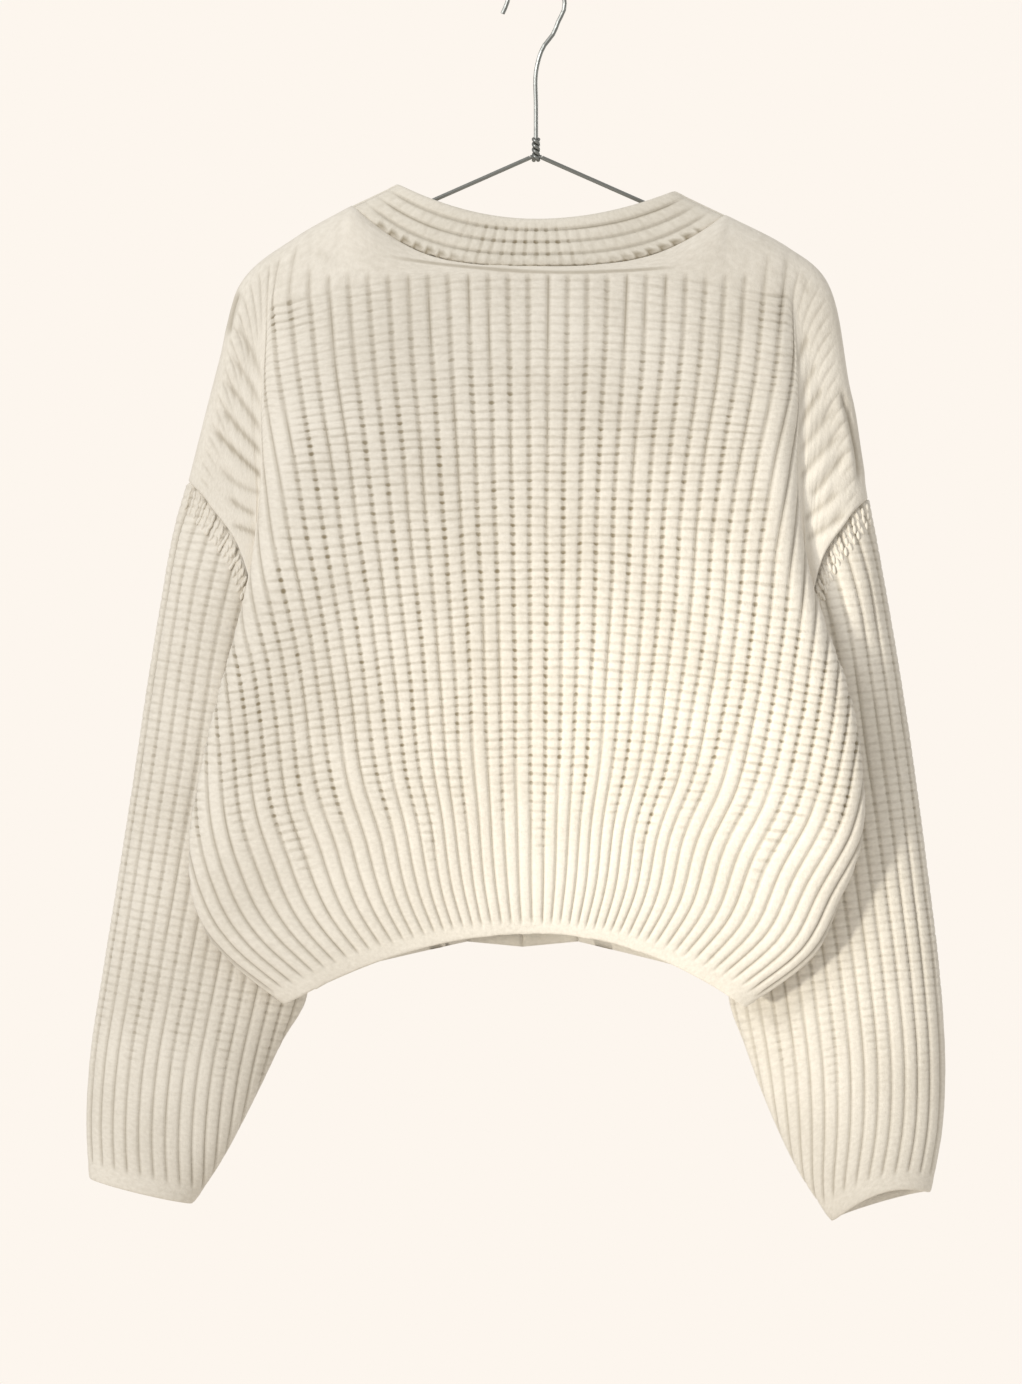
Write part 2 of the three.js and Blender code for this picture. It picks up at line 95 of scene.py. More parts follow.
# Heights are drops below the hanger's neck, and widths are distances out from the middle.
# How far forward a place lies is the same on both sides.
BODY_DEPTHS = table(("course", "fold_y", "edge_y", "front_y"), (
    (5, -16, 0, 14), (14, -21, 0, 20), (24, -28, 0, 27), (32, -34, -1, 27),
    (38, -37, -4, 22), (43, -38, -11, 15), (50, -39, -16, 10), (60, -39, -18, 8),
    (68, -38, -18, 8), (74, -36, -18, 8), (80, -33, -17, 8),
))
SLEEVE_DEPTHS = table(("y", "half"), (
    (8, 27), (14, 30), (17, 31), (17, 31), (18, 30), (18, 28), (17, 27), (15, 25), (13, 22),
))
BODY_COLUMNS = ("fold_out", "fold_drop", "edge_out", "edge_drop", "front_out")
SLEEVE_COLUMNS = ("outer_out", "outer_drop", "inner_out", "inner_drop")
SIDES = {
    "left": {
        "sign": -1,
        "neck": {"top_out": 102, "top_drop": 23, "base_out": 138, "base_drop": 40},
        "cuff_lift": 0,
        "sleeve_lean": (-0.16, 0, -0.987),
        "shoulder": ((138, 40), (180, 64), (219, 96), (236, 156), (259, 246)),
        "body": {**BODY_DEPTHS, **table(BODY_COLUMNS, (
            (196, 116, 245, 261, 196), (201, 178, 222, 294, 200), (202, 248, 208, 346, 198),
            (210, 312, 202, 405, 193), (222, 362, 192, 455, 184), (232, 398, 178, 482, 174),
            (243, 443, 167, 514, 166), (255, 511, 161, 555, 163), (251, 562, 155, 582, 160),
            (231, 596, 151, 599, 157), (185, 634, 147, 614, 153),
        ))},
        "sleeve": {**SLEEVE_DEPTHS, **table(SLEEVE_COLUMNS, (
            (270, 281, 193, 482), (281, 340, 188, 517), (291, 400, 182, 555),
            (301, 468, 174, 598), (313, 544, 175, 634), (324, 612, 192, 664),
            (333, 672, 216, 713), (336, 722, 239, 756), (334, 769, 260, 787),
        ))},
    },
    "right": {
        "sign": 1,
        "neck": {"top_out": 102, "top_drop": 28, "base_out": 142, "base_drop": 47},
        "cuff_lift": 12,
        "sleeve_lean": (0.1, 0, -0.995),
        "shoulder": ((142, 47), (188, 71), (216, 95), (233, 172), (247, 259)),
        "body": {**BODY_DEPTHS, **table(BODY_COLUMNS, (
            (188, 110, 234, 272, 188), (193, 174, 213, 304, 192), (192, 242, 202, 356, 190),
            (199, 306, 197, 410, 188), (215, 360, 189, 457, 182), (228, 396, 174, 483, 170),
            (238, 442, 161, 513, 160), (240, 508, 149, 555, 150), (223, 558, 137, 584, 138),
            (203, 598, 130, 601, 132), (154, 636, 123, 614, 126),
        ))},
        "sleeve": {**SLEEVE_DEPTHS, **table(SLEEVE_COLUMNS, (
            (255, 294, 190, 483), (264, 342, 184, 516), (274, 400, 174, 552),
            (284, 468, 158, 592), (294, 544, 147, 630), (302, 612, 159, 668),
            (306, 676, 178, 718), (304, 728, 200, 764), (295, 779, 224, 800),
        ))},
    },
}
# Ribs between the middle of the back and the fold at its side: more of them as the cloth balloons.
FACE_RIBS = table(("course", "ribs", "squeeze"), (
    (5, 13.2, 0), (14, 14.2, 0), (24, 15.4, 0), (32, 17, 0), (38, 19, 0), (43, 20.7, 0),
    (50, 22.3, 0.01), (60, 24, 0.03), (68, 25, 0.055), (80, 25.5, 0.04),
))
BACK_BULGE = table(("course", "y"), (
    (5, -26), (14, -37), (26, -49), (38, -58), (50, -63), (62, -63), (72, -57), (80, -49),
))
FRONT_BAND = table(("course", "free_out", "free_drop", "sewn_out", "sewn_drop", "y"), (
    (5, 90, 52, 127, 71, 17),
    (10, 75, 86, 113, 104, 25),
    (17, 51, 137, 90, 153, 32),
    (24, 26, 188, 65, 202, 37),
    (30, 7, 234, 47, 244, 40),
    (35, -0.3, 277, 42, 280, 42),
    (58, -0.3, 440, 42, 438, 45),
    (80, -0.3, 596, 42, 592, 40),
))


# ---- Small helpers ----
def mix(a, b, t):
    return a + (b - a) * t


def smooth(value, low=0.0, high=1.0):
    """0 below low, 1 above high and a soft step between them."""
    t = np.clip((np.asarray(value, float) - low) / (high - low), 0, 1)
    return t * t * (3 - 2 * t)


def unit(vectors):
    return vectors / np.maximum(np.linalg.norm(vectors, axis=-1, keepdims=True), 1e-9)


def place(x, y, drop):
    """A point of the frame, in millimetres, from its drop below the hanger's neck."""
    return np.stack(np.broadcast_arrays(x, y, -HOOK_TO_NECK - np.asarray(drop, float)), axis=-1)


def hermite(start, slope_start, end, slope_end, t):
    t2, t3 = t * t, t * t * t
    return ((2 * t3 - 3 * t2 + 1) * start + (t3 - 2 * t2 + t) * slope_start
            + (3 * t2 - 2 * t3) * end + (t3 - t2) * slope_end)


def read_table(rows, course):
    """Reads every column of a table at each course, along a smooth curve through its rows."""
    key = rows["course"]
    course = np.asarray(course, float)
    low = np.clip(np.searchsorted(key, course, side="left") - 1, 0, len(key) - 2)
    before, high, after = np.maximum(low - 1, 0), low + 1, np.minimum(low + 2, len(key) - 1)
    span = key[high] - key[low]
    t = np.clip((course - key[low]) / span, -0.2, 1.2)
    values = {}
    for name, column in rows.items():
        slope_low = (column[high] - column[before]) / (key[high] - key[before]) * span
        slope_high = (column[after] - column[low]) / (key[after] - key[low]) * span
        values[name] = hermite(column[low], slope_low, column[high], slope_high, t)
    return values


def curve_points(controls, t):
    """Points at t, from 0 to 1, of centripetal curves through controls, shaped (curves, points, 3)."""
    first = 2 * controls[:, :1] - controls[:, 1:2]
    last = 2 * controls[:, -1:] - controls[:, -2:-1]
    padded = np.concatenate([first, controls, last], axis=1)
    spans = controls.shape[1] - 1
    at = t * spans
    index = np.clip(np.floor(at), 0, spans - 1).astype(int)
    p0, p1, p2, p3 = (np.take_along_axis(padded, (index + i)[..., None], axis=1) for i in range(4))
    d0, d1, d2 = (np.sqrt(np.linalg.norm(b - a, axis=-1, keepdims=True))
                  for a, b in ((p0, p1), (p1, p2), (p2, p3)))
    leave = ((p1 - p0) / d0 - (p2 - p0) / (d0 + d1) + (p2 - p1) / d1) * d1
    arrive = ((p2 - p1) / d1 - (p3 - p1) / (d1 + d2) + (p3 - p2) / d2) * d1
    return hermite(p1, leave, p2, arrive, (at - index)[..., None])


def points_along(controls, shares, first=0.0, last=1.0, divisions=160):
    """Points at shares of each curve's length between t = first and t = last."""
    t = np.linspace(first, last, divisions + 1)
    fine = curve_points(controls, np.broadcast_to(t, (len(controls), len(t))))
    steps = np.linalg.norm(np.diff(fine, axis=1), axis=-1)
    lengths = np.concatenate([np.zeros((len(steps), 1)), np.cumsum(steps, axis=1)], axis=1)
    shares = np.broadcast_to(shares, (len(controls), np.shape(shares)[-1]))
    at = np.stack([np.interp(share * run[-1], run, t) for share, run in zip(shares, lengths)])
    return curve_points(controls, at)


def from_top_edge(start, heading, row_points, courses):
    """Smooth runs from points on the shoulder line to the row where a panel's own rows begin."""
    end, after = row_points(np.array([YOKE_COURSE, YOKE_COURSE + 0.5]))
    length = np.linalg.norm(end - start, axis=-1, keepdims=True)
    t = (courses / YOKE_COURSE)[:, None, None]
    return hermite(start, unit(heading) * length, end, unit(after - end) * length, t)


# ---- The cloth's middle surfaces ----
def armhole_half(course):
    along = np.clip(course / ARMHOLE_COURSE, 0, 1) * 2 - 1
    return ARMHOLE_HALF * np.sqrt(1 - along * along)


def side_edge(side, row, face):
    y = row["edge_y"] + face * armhole_half(row["course"])
    return place(side["sign"] * row["edge_out"], y, row["edge_drop"])


def back_rows(side, courses, out):
    """Rows of one half of the back at ribs counted out to the armhole or the side seam."""
    row = read_table(side["body"], courses)
    bulge = read_table(BACK_BULGE, courses)["y"]
    middle = BODY_DROP + COURSE_PITCH * (courses - YOKE_COURSE)
    points = []
    for share in FACE_SHARES:
        turn = 1 - (1 - abs(share) ** FACE_POWER) ** (1 / FACE_POWER)
        y = mix(bulge, row["fold_y"], turn)
        drop = mix(middle, row["fold_drop"], share * share)
        points.append(place(side["sign"] * row["fold_out"] * share, y, drop))
    controls = np.stack([*points, side_edge(side, row, -1)], axis=1)
    face = read_table(FACE_RIBS, courses)
    ribs = face["ribs"][:, None]
    across = np.clip(out / ribs, 0, 1)
    across = across - face["squeeze"][:, None] * np.sin(np.pi * across) ** 2
    around = np.clip((out - ribs) / (BACK_WALES - ribs), 0, 1)
    spans = len(FACE_SHARES)
    middle_at, fold_at = 1 / spans, (spans - 1) / spans
    inner = points_along(controls, across, middle_at, fold_at)
    outer = points_along(controls, around, fold_at, 1)
    return np.where((out > ribs)[..., None], outer, inner)


def neck_edge(side, angle, edge):
    """The neckband's two long edges across the back."""
    neck, across, back = side["neck"], np.cos(angle), -np.sin(angle)
    if edge == "free":
        drop = mix(NECK_TOP_DROP, neck["top_drop"], across ** 2)
        return place(side["sign"] * neck["top_out"] * across, NECK_TOP_DEPTH * back, drop)
    drop = mix(NECK_BASE_DROP, neck["base_drop"], across ** 3)
    return place(side["sign"] * neck["base_out"] * across, NECK_DEPTH * back, drop)


def shoulder_points(side, shares, y):
    line = np.array([place(side["sign"] * out, 0, drop) for out, drop in side["shoulder"]])
    points = points_along(line[None], shares)[0]
    points[:, 1] = y
    return points


def back_points(wales, courses):
    """The back, a grid with a row for each course and a column for each wale."""
    grid = np.empty((len(courses), len(wales), 3))
    below = courses >= YOKE_COURSE
    for name, side in SIDES.items():
        mine = wales < 0 if name == "left" else wales >= 0
        out = np.abs(wales[mine])
        if not len(out):
            continue

        def rows(c, side=side, out=out):
            return back_rows(side, c, out)

        share = np.interp(out, (NECK_WALES, FACE_RIBS["ribs"][0], BACK_WALES), (0, 0.23, 1))
        neck = neck_edge(side, np.arccos(np.minimum(out / NECK_WALES, 1)), "sewn")
        start = np.where((out < NECK_WALES)[:, None], neck, shoulder_points(side, share, -SEAM_HALF))
        backward = np.array([0.0, -1, 0])
        down = unit(rows(np.array([YOKE_COURSE]))[0] - start)
        near_shoulder = smooth(out / NECK_WALES * 2 - 1)[:, None]
        heading = mix(down, backward, near_shoulder)
        part = np.empty((len(courses), len(out), 3))
        part[below] = rows(courses[below])
        part[~below] = from_top_edge(start, heading, rows, courses[~below])
        grid[:, mine] = part
    return grid


def band_edge(side, edge, courses):
    """One long edge of a front band."""
    sign, neck = side["sign"], side["neck"]

    def rows(c):
        row = read_table(FRONT_BAND, c)
        shift = CENTRE_SHIFT * np.clip((c - 30) / (COURSES - 30), 0, 1)
        return place(sign * row[edge + "_out"] + shift, row["y"], row[edge + "_drop"])[:, None]

    top = {"free": ("top_out", "top_drop"), "sewn": ("base_out", "base_drop")}[edge]
    start = place(sign * neck[top[0]], SEAM_HALF, neck[top[1]])[None]
    courses = np.asarray(courses, float)
    below = courses >= YOKE_COURSE
    points = np.empty((len(courses), 3))
    points[below] = rows(courses[below])[:, 0]
    points[~below] = from_top_edge(start, np.array([[0.0, 1, 0]]), rows, courses[~below])[:, 0]
    return points


def front_points(side, shares, courses):
    """One front, from the armhole or side seam at share 0 to the band's seam at share 1."""
    def rows(c):
        row = read_table(side["body"], c)
        edge, band = side_edge(side, row, 1), band_edge(side, "sewn", c)
        turn_drop = mix(row["fold_drop"], row["edge_drop"], mix(0.35, 1, c / COURSES))
        turn = place(side["sign"] * row["front_out"], row["front_y"], turn_drop)
        points = [edge, turn]
        for inward in (0.35, 0.7):
            point = mix(turn, band, inward)
            point[:, 1] = mix(turn[:, 1], band[:, 1], 1 - (1 - inward) ** FACE_POWER)
            points.append(point)
        return points_along(np.stack([*points, band], axis=1), shares)

    ridge = shoulder_points(side, 1 - shares, SEAM_HALF)
    below = courses >= YOKE_COURSE
    grid = np.empty((len(courses), len(shares), 3))
    grid[below] = rows(courses[below])
    grid[~below] = from_top_edge(ridge, np.array([0.0, 1, 0]), rows, courses[~below])
    return grid


def sleeve_way(side):
    out, forward, up = SLEEVE_WAY
    return np.array([side["sign"] * out, forward, up])


def sleeve_points(side, turns, alongs):
    """One sleeve. Turn 0 is the underarm, 0.25 the back, 0.5 the outer line and 0.75 the front."""
    sign = side["sign"]
    course = ARMHOLE_COURSE * (1 + np.cos(turns * 2 * np.pi)) / 2
    on_back = turns <= 0.5
    back = back_points(np.array([sign * BACK_WALES]), course)[:, 0]
    front = front_points(side, np.array([0.0]), course)[:, 0]
    armhole = np.where(on_back[:, None], back, front)
    armhole += SLEEVE_START * sleeve_way(side)
    tuck = mix(SLEEVE_TUCK[0], SLEEVE_TUCK[1], 1 - np.abs(1 - 2 * turns))
    armhole[:, 1] += np.where(on_back, 1, -1) * tuck * np.sqrt(np.abs(np.sin(turns * 2 * np.pi)))
    rings = []
    outward = (1 - np.cos(turns * 2 * np.pi)) / 2
    for i in range(len(side["sleeve"]["y"])):
        row = {name: column[i] for name, column in side["sleeve"].items()}
        outer = place(sign * row["outer_out"], row["y"], row["outer_drop"])
        inner = place(sign * row["inner_out"], row["y"], row["inner_drop"])
        ring = mix(inner, outer, outward[:, None])
        ring[:, 1] -= row["half"] * np.sin(turns * 2 * np.pi)
        rings.append(ring)
    lift = side["cuff_lift"] * np.sin(turns * 2 * np.pi) ** 2
    rings[-1][:, 2] += np.where(turns < 0.5, lift, 0)
    controls = np.stack([armhole, *rings], axis=1)
    return curve_points(controls, np.broadcast_to(alongs, (len(turns), len(alongs))))


# ---- Lattices ----
def add_object(name, data):
    obj = bpy.data.objects.new(name, data)
    bpy.context.scene.collection.objects.link(obj)
    return obj


def store(mesh, key, values, kind="FLOAT"):
    """Keeps one value or vector for each point of a mesh."""
    layer = mesh.attributes.new(key, kind, "POINT")
    values = np.asarray(values, np.float32).ravel()
    layer.data.foreach_set("value" if kind == "FLOAT" else "vector", values)


WALE_STEPS = (0, 0.13, 0.33, 0.67, 0.87)   # where the columns of a rib lie, from groove to groove
COURSE_STEPS = (0, 0.22, 0.78)             # where the rows of a course lie, from dent to dent
TOP_ROWS = (0, 0.08, 0.2)                  # rows that lie close together at the shoulder line
HEM_ROWS = (79.4, 79.7, 79.85, 79.95, 80)  # and at the hem
HEM_FADE = (78, 79)                        # the rows over which the ribs run out above the hem
WALL_HALF = 2.0                            # half the thickness of the knitted wall
LIP = 1.6                                  # how far in from an edge the wall thins towards it
LIP_SHARE = 0.3                            # share of the thickness that is left at the edge
FAR = 99.0                                 # distance to a seam where there is none, in millimetres


def steps_between(first, last, steps):
    """The whole numbers from first to last, with the steps inside each."""
    values = [whole + step for whole in range(int(first), int(last)) for step in steps]
    return np.array([*values, float(last)])


def panel_rows(first, *between):
    """The rows of a panel: close ones at its top, the ones between, and even steps from row first."""
    return np.concatenate([TOP_ROWS, between, steps_between(first, 79, COURSE_STEPS), HEM_ROWS])


def whole_places(values):
    """The places of the whole numbers in a list, which are the rows that the inside keeps."""
    return np.flatnonzero(np.isclose(values, np.round(values)))


def inside_places(wales):
    """The places that the inside keeps across the ribs: all but the ones next to a groove."""
    skipped = (WALE_STEPS[1], WALE_STEPS[-1])
    return np.flatnonzero([round(wale % 1, 2) not in skipped for wale in wales])


def lattice_normals(points):
    """Outward normals of a grid whose rows run down and whose columns run right, seen from outside."""
    down = np.gradient(points, axis=0)
    right = np.gradient(points, axis=1)
    return unit(np.cross(down, right))


def calmed(values, share, passes):
    """Values on a grid, eased towards the mean of their neighbours where the share says so."""
    for _ in range(passes):
        wide = np.pad(values, ((1, 1), (1, 1), (0, 0)), mode="edge")
        mean = (wide[:-2, 1:-1] + wide[2:, 1:-1] + wide[1:-1, :-2] + wide[1:-1, 2:]) / 4
        values = values + share[..., None] * (mean - values)
    return values


def lip(distance):
    """The share of the wall's thickness at a distance from its edge, a quarter round."""
    t = np.clip(distance / LIP, 0, 1)
    return mix(LIP_SHARE, 1, np.sqrt(1 - (1 - t) ** 2))


def rim_faces(outer, inner, picked, reverse):
    """Triangles from an edge's outer vertices to its fewer inner ones, which lie at the picked places."""
    faces = []
    for k in range(len(picked) - 1):
        chain = list(outer[picked[k]:picked[k + 1] + 1])
        a, b = inner[k], inner[k + 1]
        half = len(chain) // 2
        faces += [(a, chain[i], chain[i + 1]) for i in range(half)]
        faces.append((a, chain[half], b))
        faces += [(b, chain[i], chain[i + 1]) for i in range(half, len(chain) - 1)]
    return [face[::-1] for face in faces] if reverse else faces


def grid_faces(ids):
    quads = np.stack([ids[:-1, :-1], ids[1:, :-1], ids[1:, 1:], ids[:-1, 1:]], axis=-1)
    return quads.reshape(-1, 4).tolist()


def knit_shell(name, points, wale, course, thickness, masks, lying=False, merge=False, calm=None):
    """A closed thin wall about a grid of points in millimetres, with the knit's own coordinates stored.

    The inside is coarser than the outside: it keeps only some of the rows and columns. The ribs run
    down the grid, or across it if lying. Where calm is 1 the wall's direction is averaged, so that a
    tight bend doesn't cross itself. Merge joins the points that meet where a row narrows to nothing."""
    if lying:
        rows_inside, columns_inside = inside_places(wale[:, 0]), whole_places(course[0])
    else:
        rows_inside, columns_inside = whole_places(course[:, 0]), inside_places(wale[0])
    normals = lattice_normals(points)
    if calm is not None:
        normals = unit(calmed(normals, calm, 14))
    shape = points.shape[:2]
    offset = (WALL_HALF * thickness)[..., None] * normals
    pick = np.ix_(rows_inside, columns_inside)
    outer_ids = np.arange(shape[0] * shape[1]).reshape(shape)
    inner_shape = (len(rows_inside), len(columns_inside))
    inner_ids = outer_ids.size + np.arange(inner_shape[0] * inner_shape[1]).reshape(inner_shape)
    faces = grid_faces(outer_ids)
    faces += [face[::-1] for face in grid_faces(inner_ids)]
    faces += rim_faces(outer_ids[0], inner_ids[0], columns_inside, False)
    faces += rim_faces(outer_ids[-1], inner_ids[-1], columns_inside, True)
    faces += rim_faces(outer_ids[:, 0], inner_ids[:, 0], rows_inside, True)
    faces += rim_faces(outer_ids[:, -1], inner_ids[:, -1], rows_inside, False)

    def both(outer, inner):
        return np.concatenate([outer.reshape(-1, *outer.shape[2:]), inner.reshape(-1, *inner.shape[2:])])

    vertices = both(points + offset, (points - offset)[pick]) * MM
    mesh = bpy.data.meshes.new(name)
    mesh.from_pydata(vertices.tolist(), [], faces)
    layers = {
        "wale": both(wale, wale[pick] + 0.5),
        "course": both(course, course[pick]),
        "inside": both(np.zeros(shape), np.ones(inner_shape)),
    }
    plain = {"painted_shade": np.zeros(shape), "seam": np.full(shape, FAR), "sewn": np.ones(shape)}
    for key, mask in {**plain, **masks}.items():
        mask = np.broadcast_to(mask, shape)
        layers[key] = both(mask, mask[pick])
    for key, values in layers.items():
        store(mesh, key, values)
    store(mesh, "outward", both(normals, -normals[pick]), "FLOAT_VECTOR")
    if merge:
        work = bmesh.new()
        work.from_mesh(mesh)
        bmesh.ops.remove_doubles(work, verts=work.verts, dist=0.02 * MM)
        bmesh.ops.dissolve_degenerate(work, edges=work.edges, dist=0.01 * MM)
        work.to_mesh(mesh)
        work.free()
    for polygon in mesh.polygons:
        polygon.use_smooth = True
    return add_object(name, mesh)


# ---- Nodes ----
def add_node(tree, kind, *inputs, named=None, **settings):
    """Adds a node with its settings. An input is a value, a socket, or a node for its first output."""
    node = tree.nodes.new(kind)
    for key, value in settings.items():
        setattr(node, key, value)
    for key, value in [*enumerate(inputs), *(named or {}).items()]:
        if value is None:
            continue
        if isinstance(value, bpy.types.Node):
            value = value.outputs[0]
        if isinstance(value, bpy.types.NodeSocket):
            tree.links.new(value, node.inputs[key])
        else:
            node.inputs[key].default_value = value
    return node


def srgb(hex_colour):
    """Linear red, green and blue of an sRGB hex colour."""
    channels = [int(hex_colour[i:i + 2], 16) / 255 for i in (1, 3, 5)]
    return [c / 12.92 if c <= 0.04045 else ((c + 0.055) / 1.055) ** 2.4 for c in channels]


def geometry_tree(name, floats, vectors=()):
    """A new tree that takes geometry, numbers, vectors and a material, and what it is given."""
    tree = bpy.data.node_groups.new(name, "GeometryNodeTree")
    sockets = [("Geometry", "Geometry"), *((key, "Float") for key in floats),
               *((key, "Vector") for key in vectors), ("Material", "Material")]
    for key, kind in sockets:
        tree.interface.new_socket(key, in_out="INPUT", socket_type="NodeSocket" + kind)
    tree.interface.new_socket("Geometry", in_out="OUTPUT", socket_type="NodeSocketGeometry")
    return tree, add_node(tree, "NodeGroupInput").outputs


def give_painted(tree, geometry, given):
    """Ends a tree: its geometry is given out with the material."""
    painted = add_node(tree, "GeometryNodeSetMaterial", geometry, named={"Material": given["Material"]})
    add_node(tree, "NodeGroupOutput", painted)


def calculator(tree):
    """A function that adds one step of arithmetic to a tree."""
    def calc(operation, *inputs, **settings):
        return add_node(tree, "ShaderNodeMath", *inputs, operation=operation, **settings)
    return calc


def rib_relief_tree():
    """Raises ribs with a dent at every row, and pits where a row crosses a groove."""
    tree, given = geometry_tree("rib knit relief", (
        "Rib Height", "Groove Share", "Row Dent", "Groove Pit", "Inside Share", "Unevenness", "Seed"))
    calc = calculator(tree)

    def stored(name, kind="FLOAT"):
        return add_node(tree, "GeometryNodeInputNamedAttribute", name, data_type=kind)

    across = calc("PINGPONG", stored("wale"), 0.5)
    along = calc("PINGPONG", stored("course"), 0.5)
    slope = calc("MULTIPLY_ADD", across, -2.0, 1.0)
    groove = calc("POWER", slope, 4.5)
    rib = calc("SUBTRACT", 1.0, groove)
    level = calc("SUBTRACT", rib, given["Groove Share"])
    raised = calc("MULTIPLY", level, given["Rib Height"])
    relief = calc("MULTIPLY", raised, stored("relief"))
    row = add_node(tree, "ShaderNodeMapRange", along, 0.0, 0.3, 1.0, 0.0, interpolation_type="SMOOTHSTEP")
    depth = calc("MULTIPLY_ADD", groove, given["Groove Pit"], given["Row Dent"])
    dents = calc("MULTIPLY", row, depth)
    dented = calc("MULTIPLY", dents, stored("dent"))
    height = calc("SUBTRACT", relief, dented)
    side = add_node(tree, "ShaderNodeMapRange", stored("inside"), 0.0, 1.0, 1.0, given["Inside Share"])
    # Hand-tensioned stitches stand a little higher or lower than their neighbours.
    cell = add_node(tree, "ShaderNodeCombineXYZ", stored("wale"), stored("course"))
    tension = add_node(tree, "ShaderNodeTexNoise", noise_dimensions="4D", named={
        "Vector": cell, "W": given["Seed"], "Scale": 0.8, "Detail": 2.0})
    centred = calc("SUBTRACT", tension.outputs["Fac"], 0.5)
    uneven_by = calc("MULTIPLY", centred, given["Unevenness"])
    stitched = calc("MULTIPLY", uneven_by, stored("relief"))
    knitted = calc("ADD", height, stitched)
    shown = calc("MULTIPLY", knitted, side)
    tube = calc("ADD", stored("tube"), shown)
    metres = calc("MULTIPLY", tube, MM)
    push = add_node(tree, "ShaderNodeVectorMath", stored("outward", "FLOAT_VECTOR"),
                    named={"Scale": metres}, operation="SCALE")
    moved = add_node(tree, "GeometryNodeSetPosition", given["Geometry"], named={"Offset": push})
    real = add_node(tree, "GeometryNodeRealizeInstances", moved)
    give_painted(tree, real, given)
    return tree


def apply_nodes(obj, tree, values):
    """Runs a node tree on an object and keeps the result as its plain mesh."""
    modifier = obj.modifiers.new(tree.name, "NODES")
    modifier.node_group = tree
    for item in tree.interface.items_tree:
        if item.in_out == "INPUT" and item.name in values:
            modifier[item.identifier] = values[item.name]
    graph = bpy.context.evaluated_depsgraph_get()
    made = bpy.data.meshes.new_from_object(obj.evaluated_get(graph), preserve_all_data_layers=True,
                                           depsgraph=graph)
    made.name = obj.name
    obj.modifiers.remove(modifier)
    old = obj.data
    obj.data = made
    bpy.data.meshes.remove(old)
    return obj


def stitch_tree():
    """Lays a short plump loop of yarn on every point, along the point's own direction."""
    tree, given = geometry_tree("seam stitches", ("Yarn Radius", "Half Length"))
    loop = add_node(tree, "GeometryNodeMeshUVSphere", 7, 5, 1.0)
    along = add_node(tree, "GeometryNodeInputNamedAttribute", "along", data_type="FLOAT_VECTOR")
    turn = add_node(tree, "FunctionNodeAlignRotationToVector", named={"Vector": along}, axis="Z")
    size = add_node(tree, "ShaderNodeCombineXYZ", given["Yarn Radius"], given["Yarn Radius"],
                    given["Half Length"])
    laid = add_node(tree, "GeometryNodeInstanceOnPoints", given["Geometry"], named={
        "Instance": loop.outputs["Mesh"], "Rotation": turn, "Scale": size})
    real = add_node(tree, "GeometryNodeRealizeInstances", laid)
    rounded = add_node(tree, "GeometryNodeSetShadeSmooth", real)
    give_painted(tree, rounded, given)
    return tree


def twist_tree():
    """Two wires wound around each other, whose lower ends lead out to the arms."""
    leads = ("Left Lead", "Right Lead")
    tree, given = geometry_tree(
        "twisted wires", ("Wire Radius", "Winding Radius", "Height", "Turns"), leads)
    helix = add_node(tree, "GeometryNodeCurveSpiral", named={
        "Resolution": 18, "Rotations": given["Turns"], "Start Radius": given["Winding Radius"],
        "End Radius": given["Winding Radius"], "Height": given["Height"]})
    other = add_node(tree, "GeometryNodeTransform", helix, named={"Rotation": (0, 0, math.pi)})
    both = add_node(tree, "GeometryNodeJoinGeometry", helix)
    tree.links.new(other.outputs[0], both.inputs[0])
    for name in leads:
        inner = add_node(tree, "ShaderNodeVectorMath", given[name], (0.1, 1, 1), operation="MULTIPLY")
        lead = add_node(tree, "GeometryNodeCurvePrimitiveLine",
                        named={"Start": inner, "End": given[name]})
        tree.links.new(lead.outputs[0], both.inputs[0])
    ring = add_node(tree, "GeometryNodeCurvePrimitiveCircle", named={
        "Resolution": 10, "Radius": given["Wire Radius"]})
    wires = add_node(tree, "GeometryNodeCurveToMesh", both, ring, named={"Fill Caps": True})
    rounded = add_node(tree, "GeometryNodeSetShadeSmooth", wires)
    real = add_node(tree, "GeometryNodeRealizeInstances", rounded)
    give_painted(tree, real, given)
    return tree


# ---- Materials ----
def mixed(tree, factor, first, second):
    """A colour between two colours, each a socket or linear numbers."""
    return add_node(tree, "ShaderNodeMix", data_type="RGBA", named={0: factor, 6: first, 7: second})


def bare_material(name):
    """A new material and its node tree, without any node."""
    material = bpy.data.materials.new(name)
    material.use_nodes = True
    material.node_tree.nodes.clear()
    return material, material.node_tree


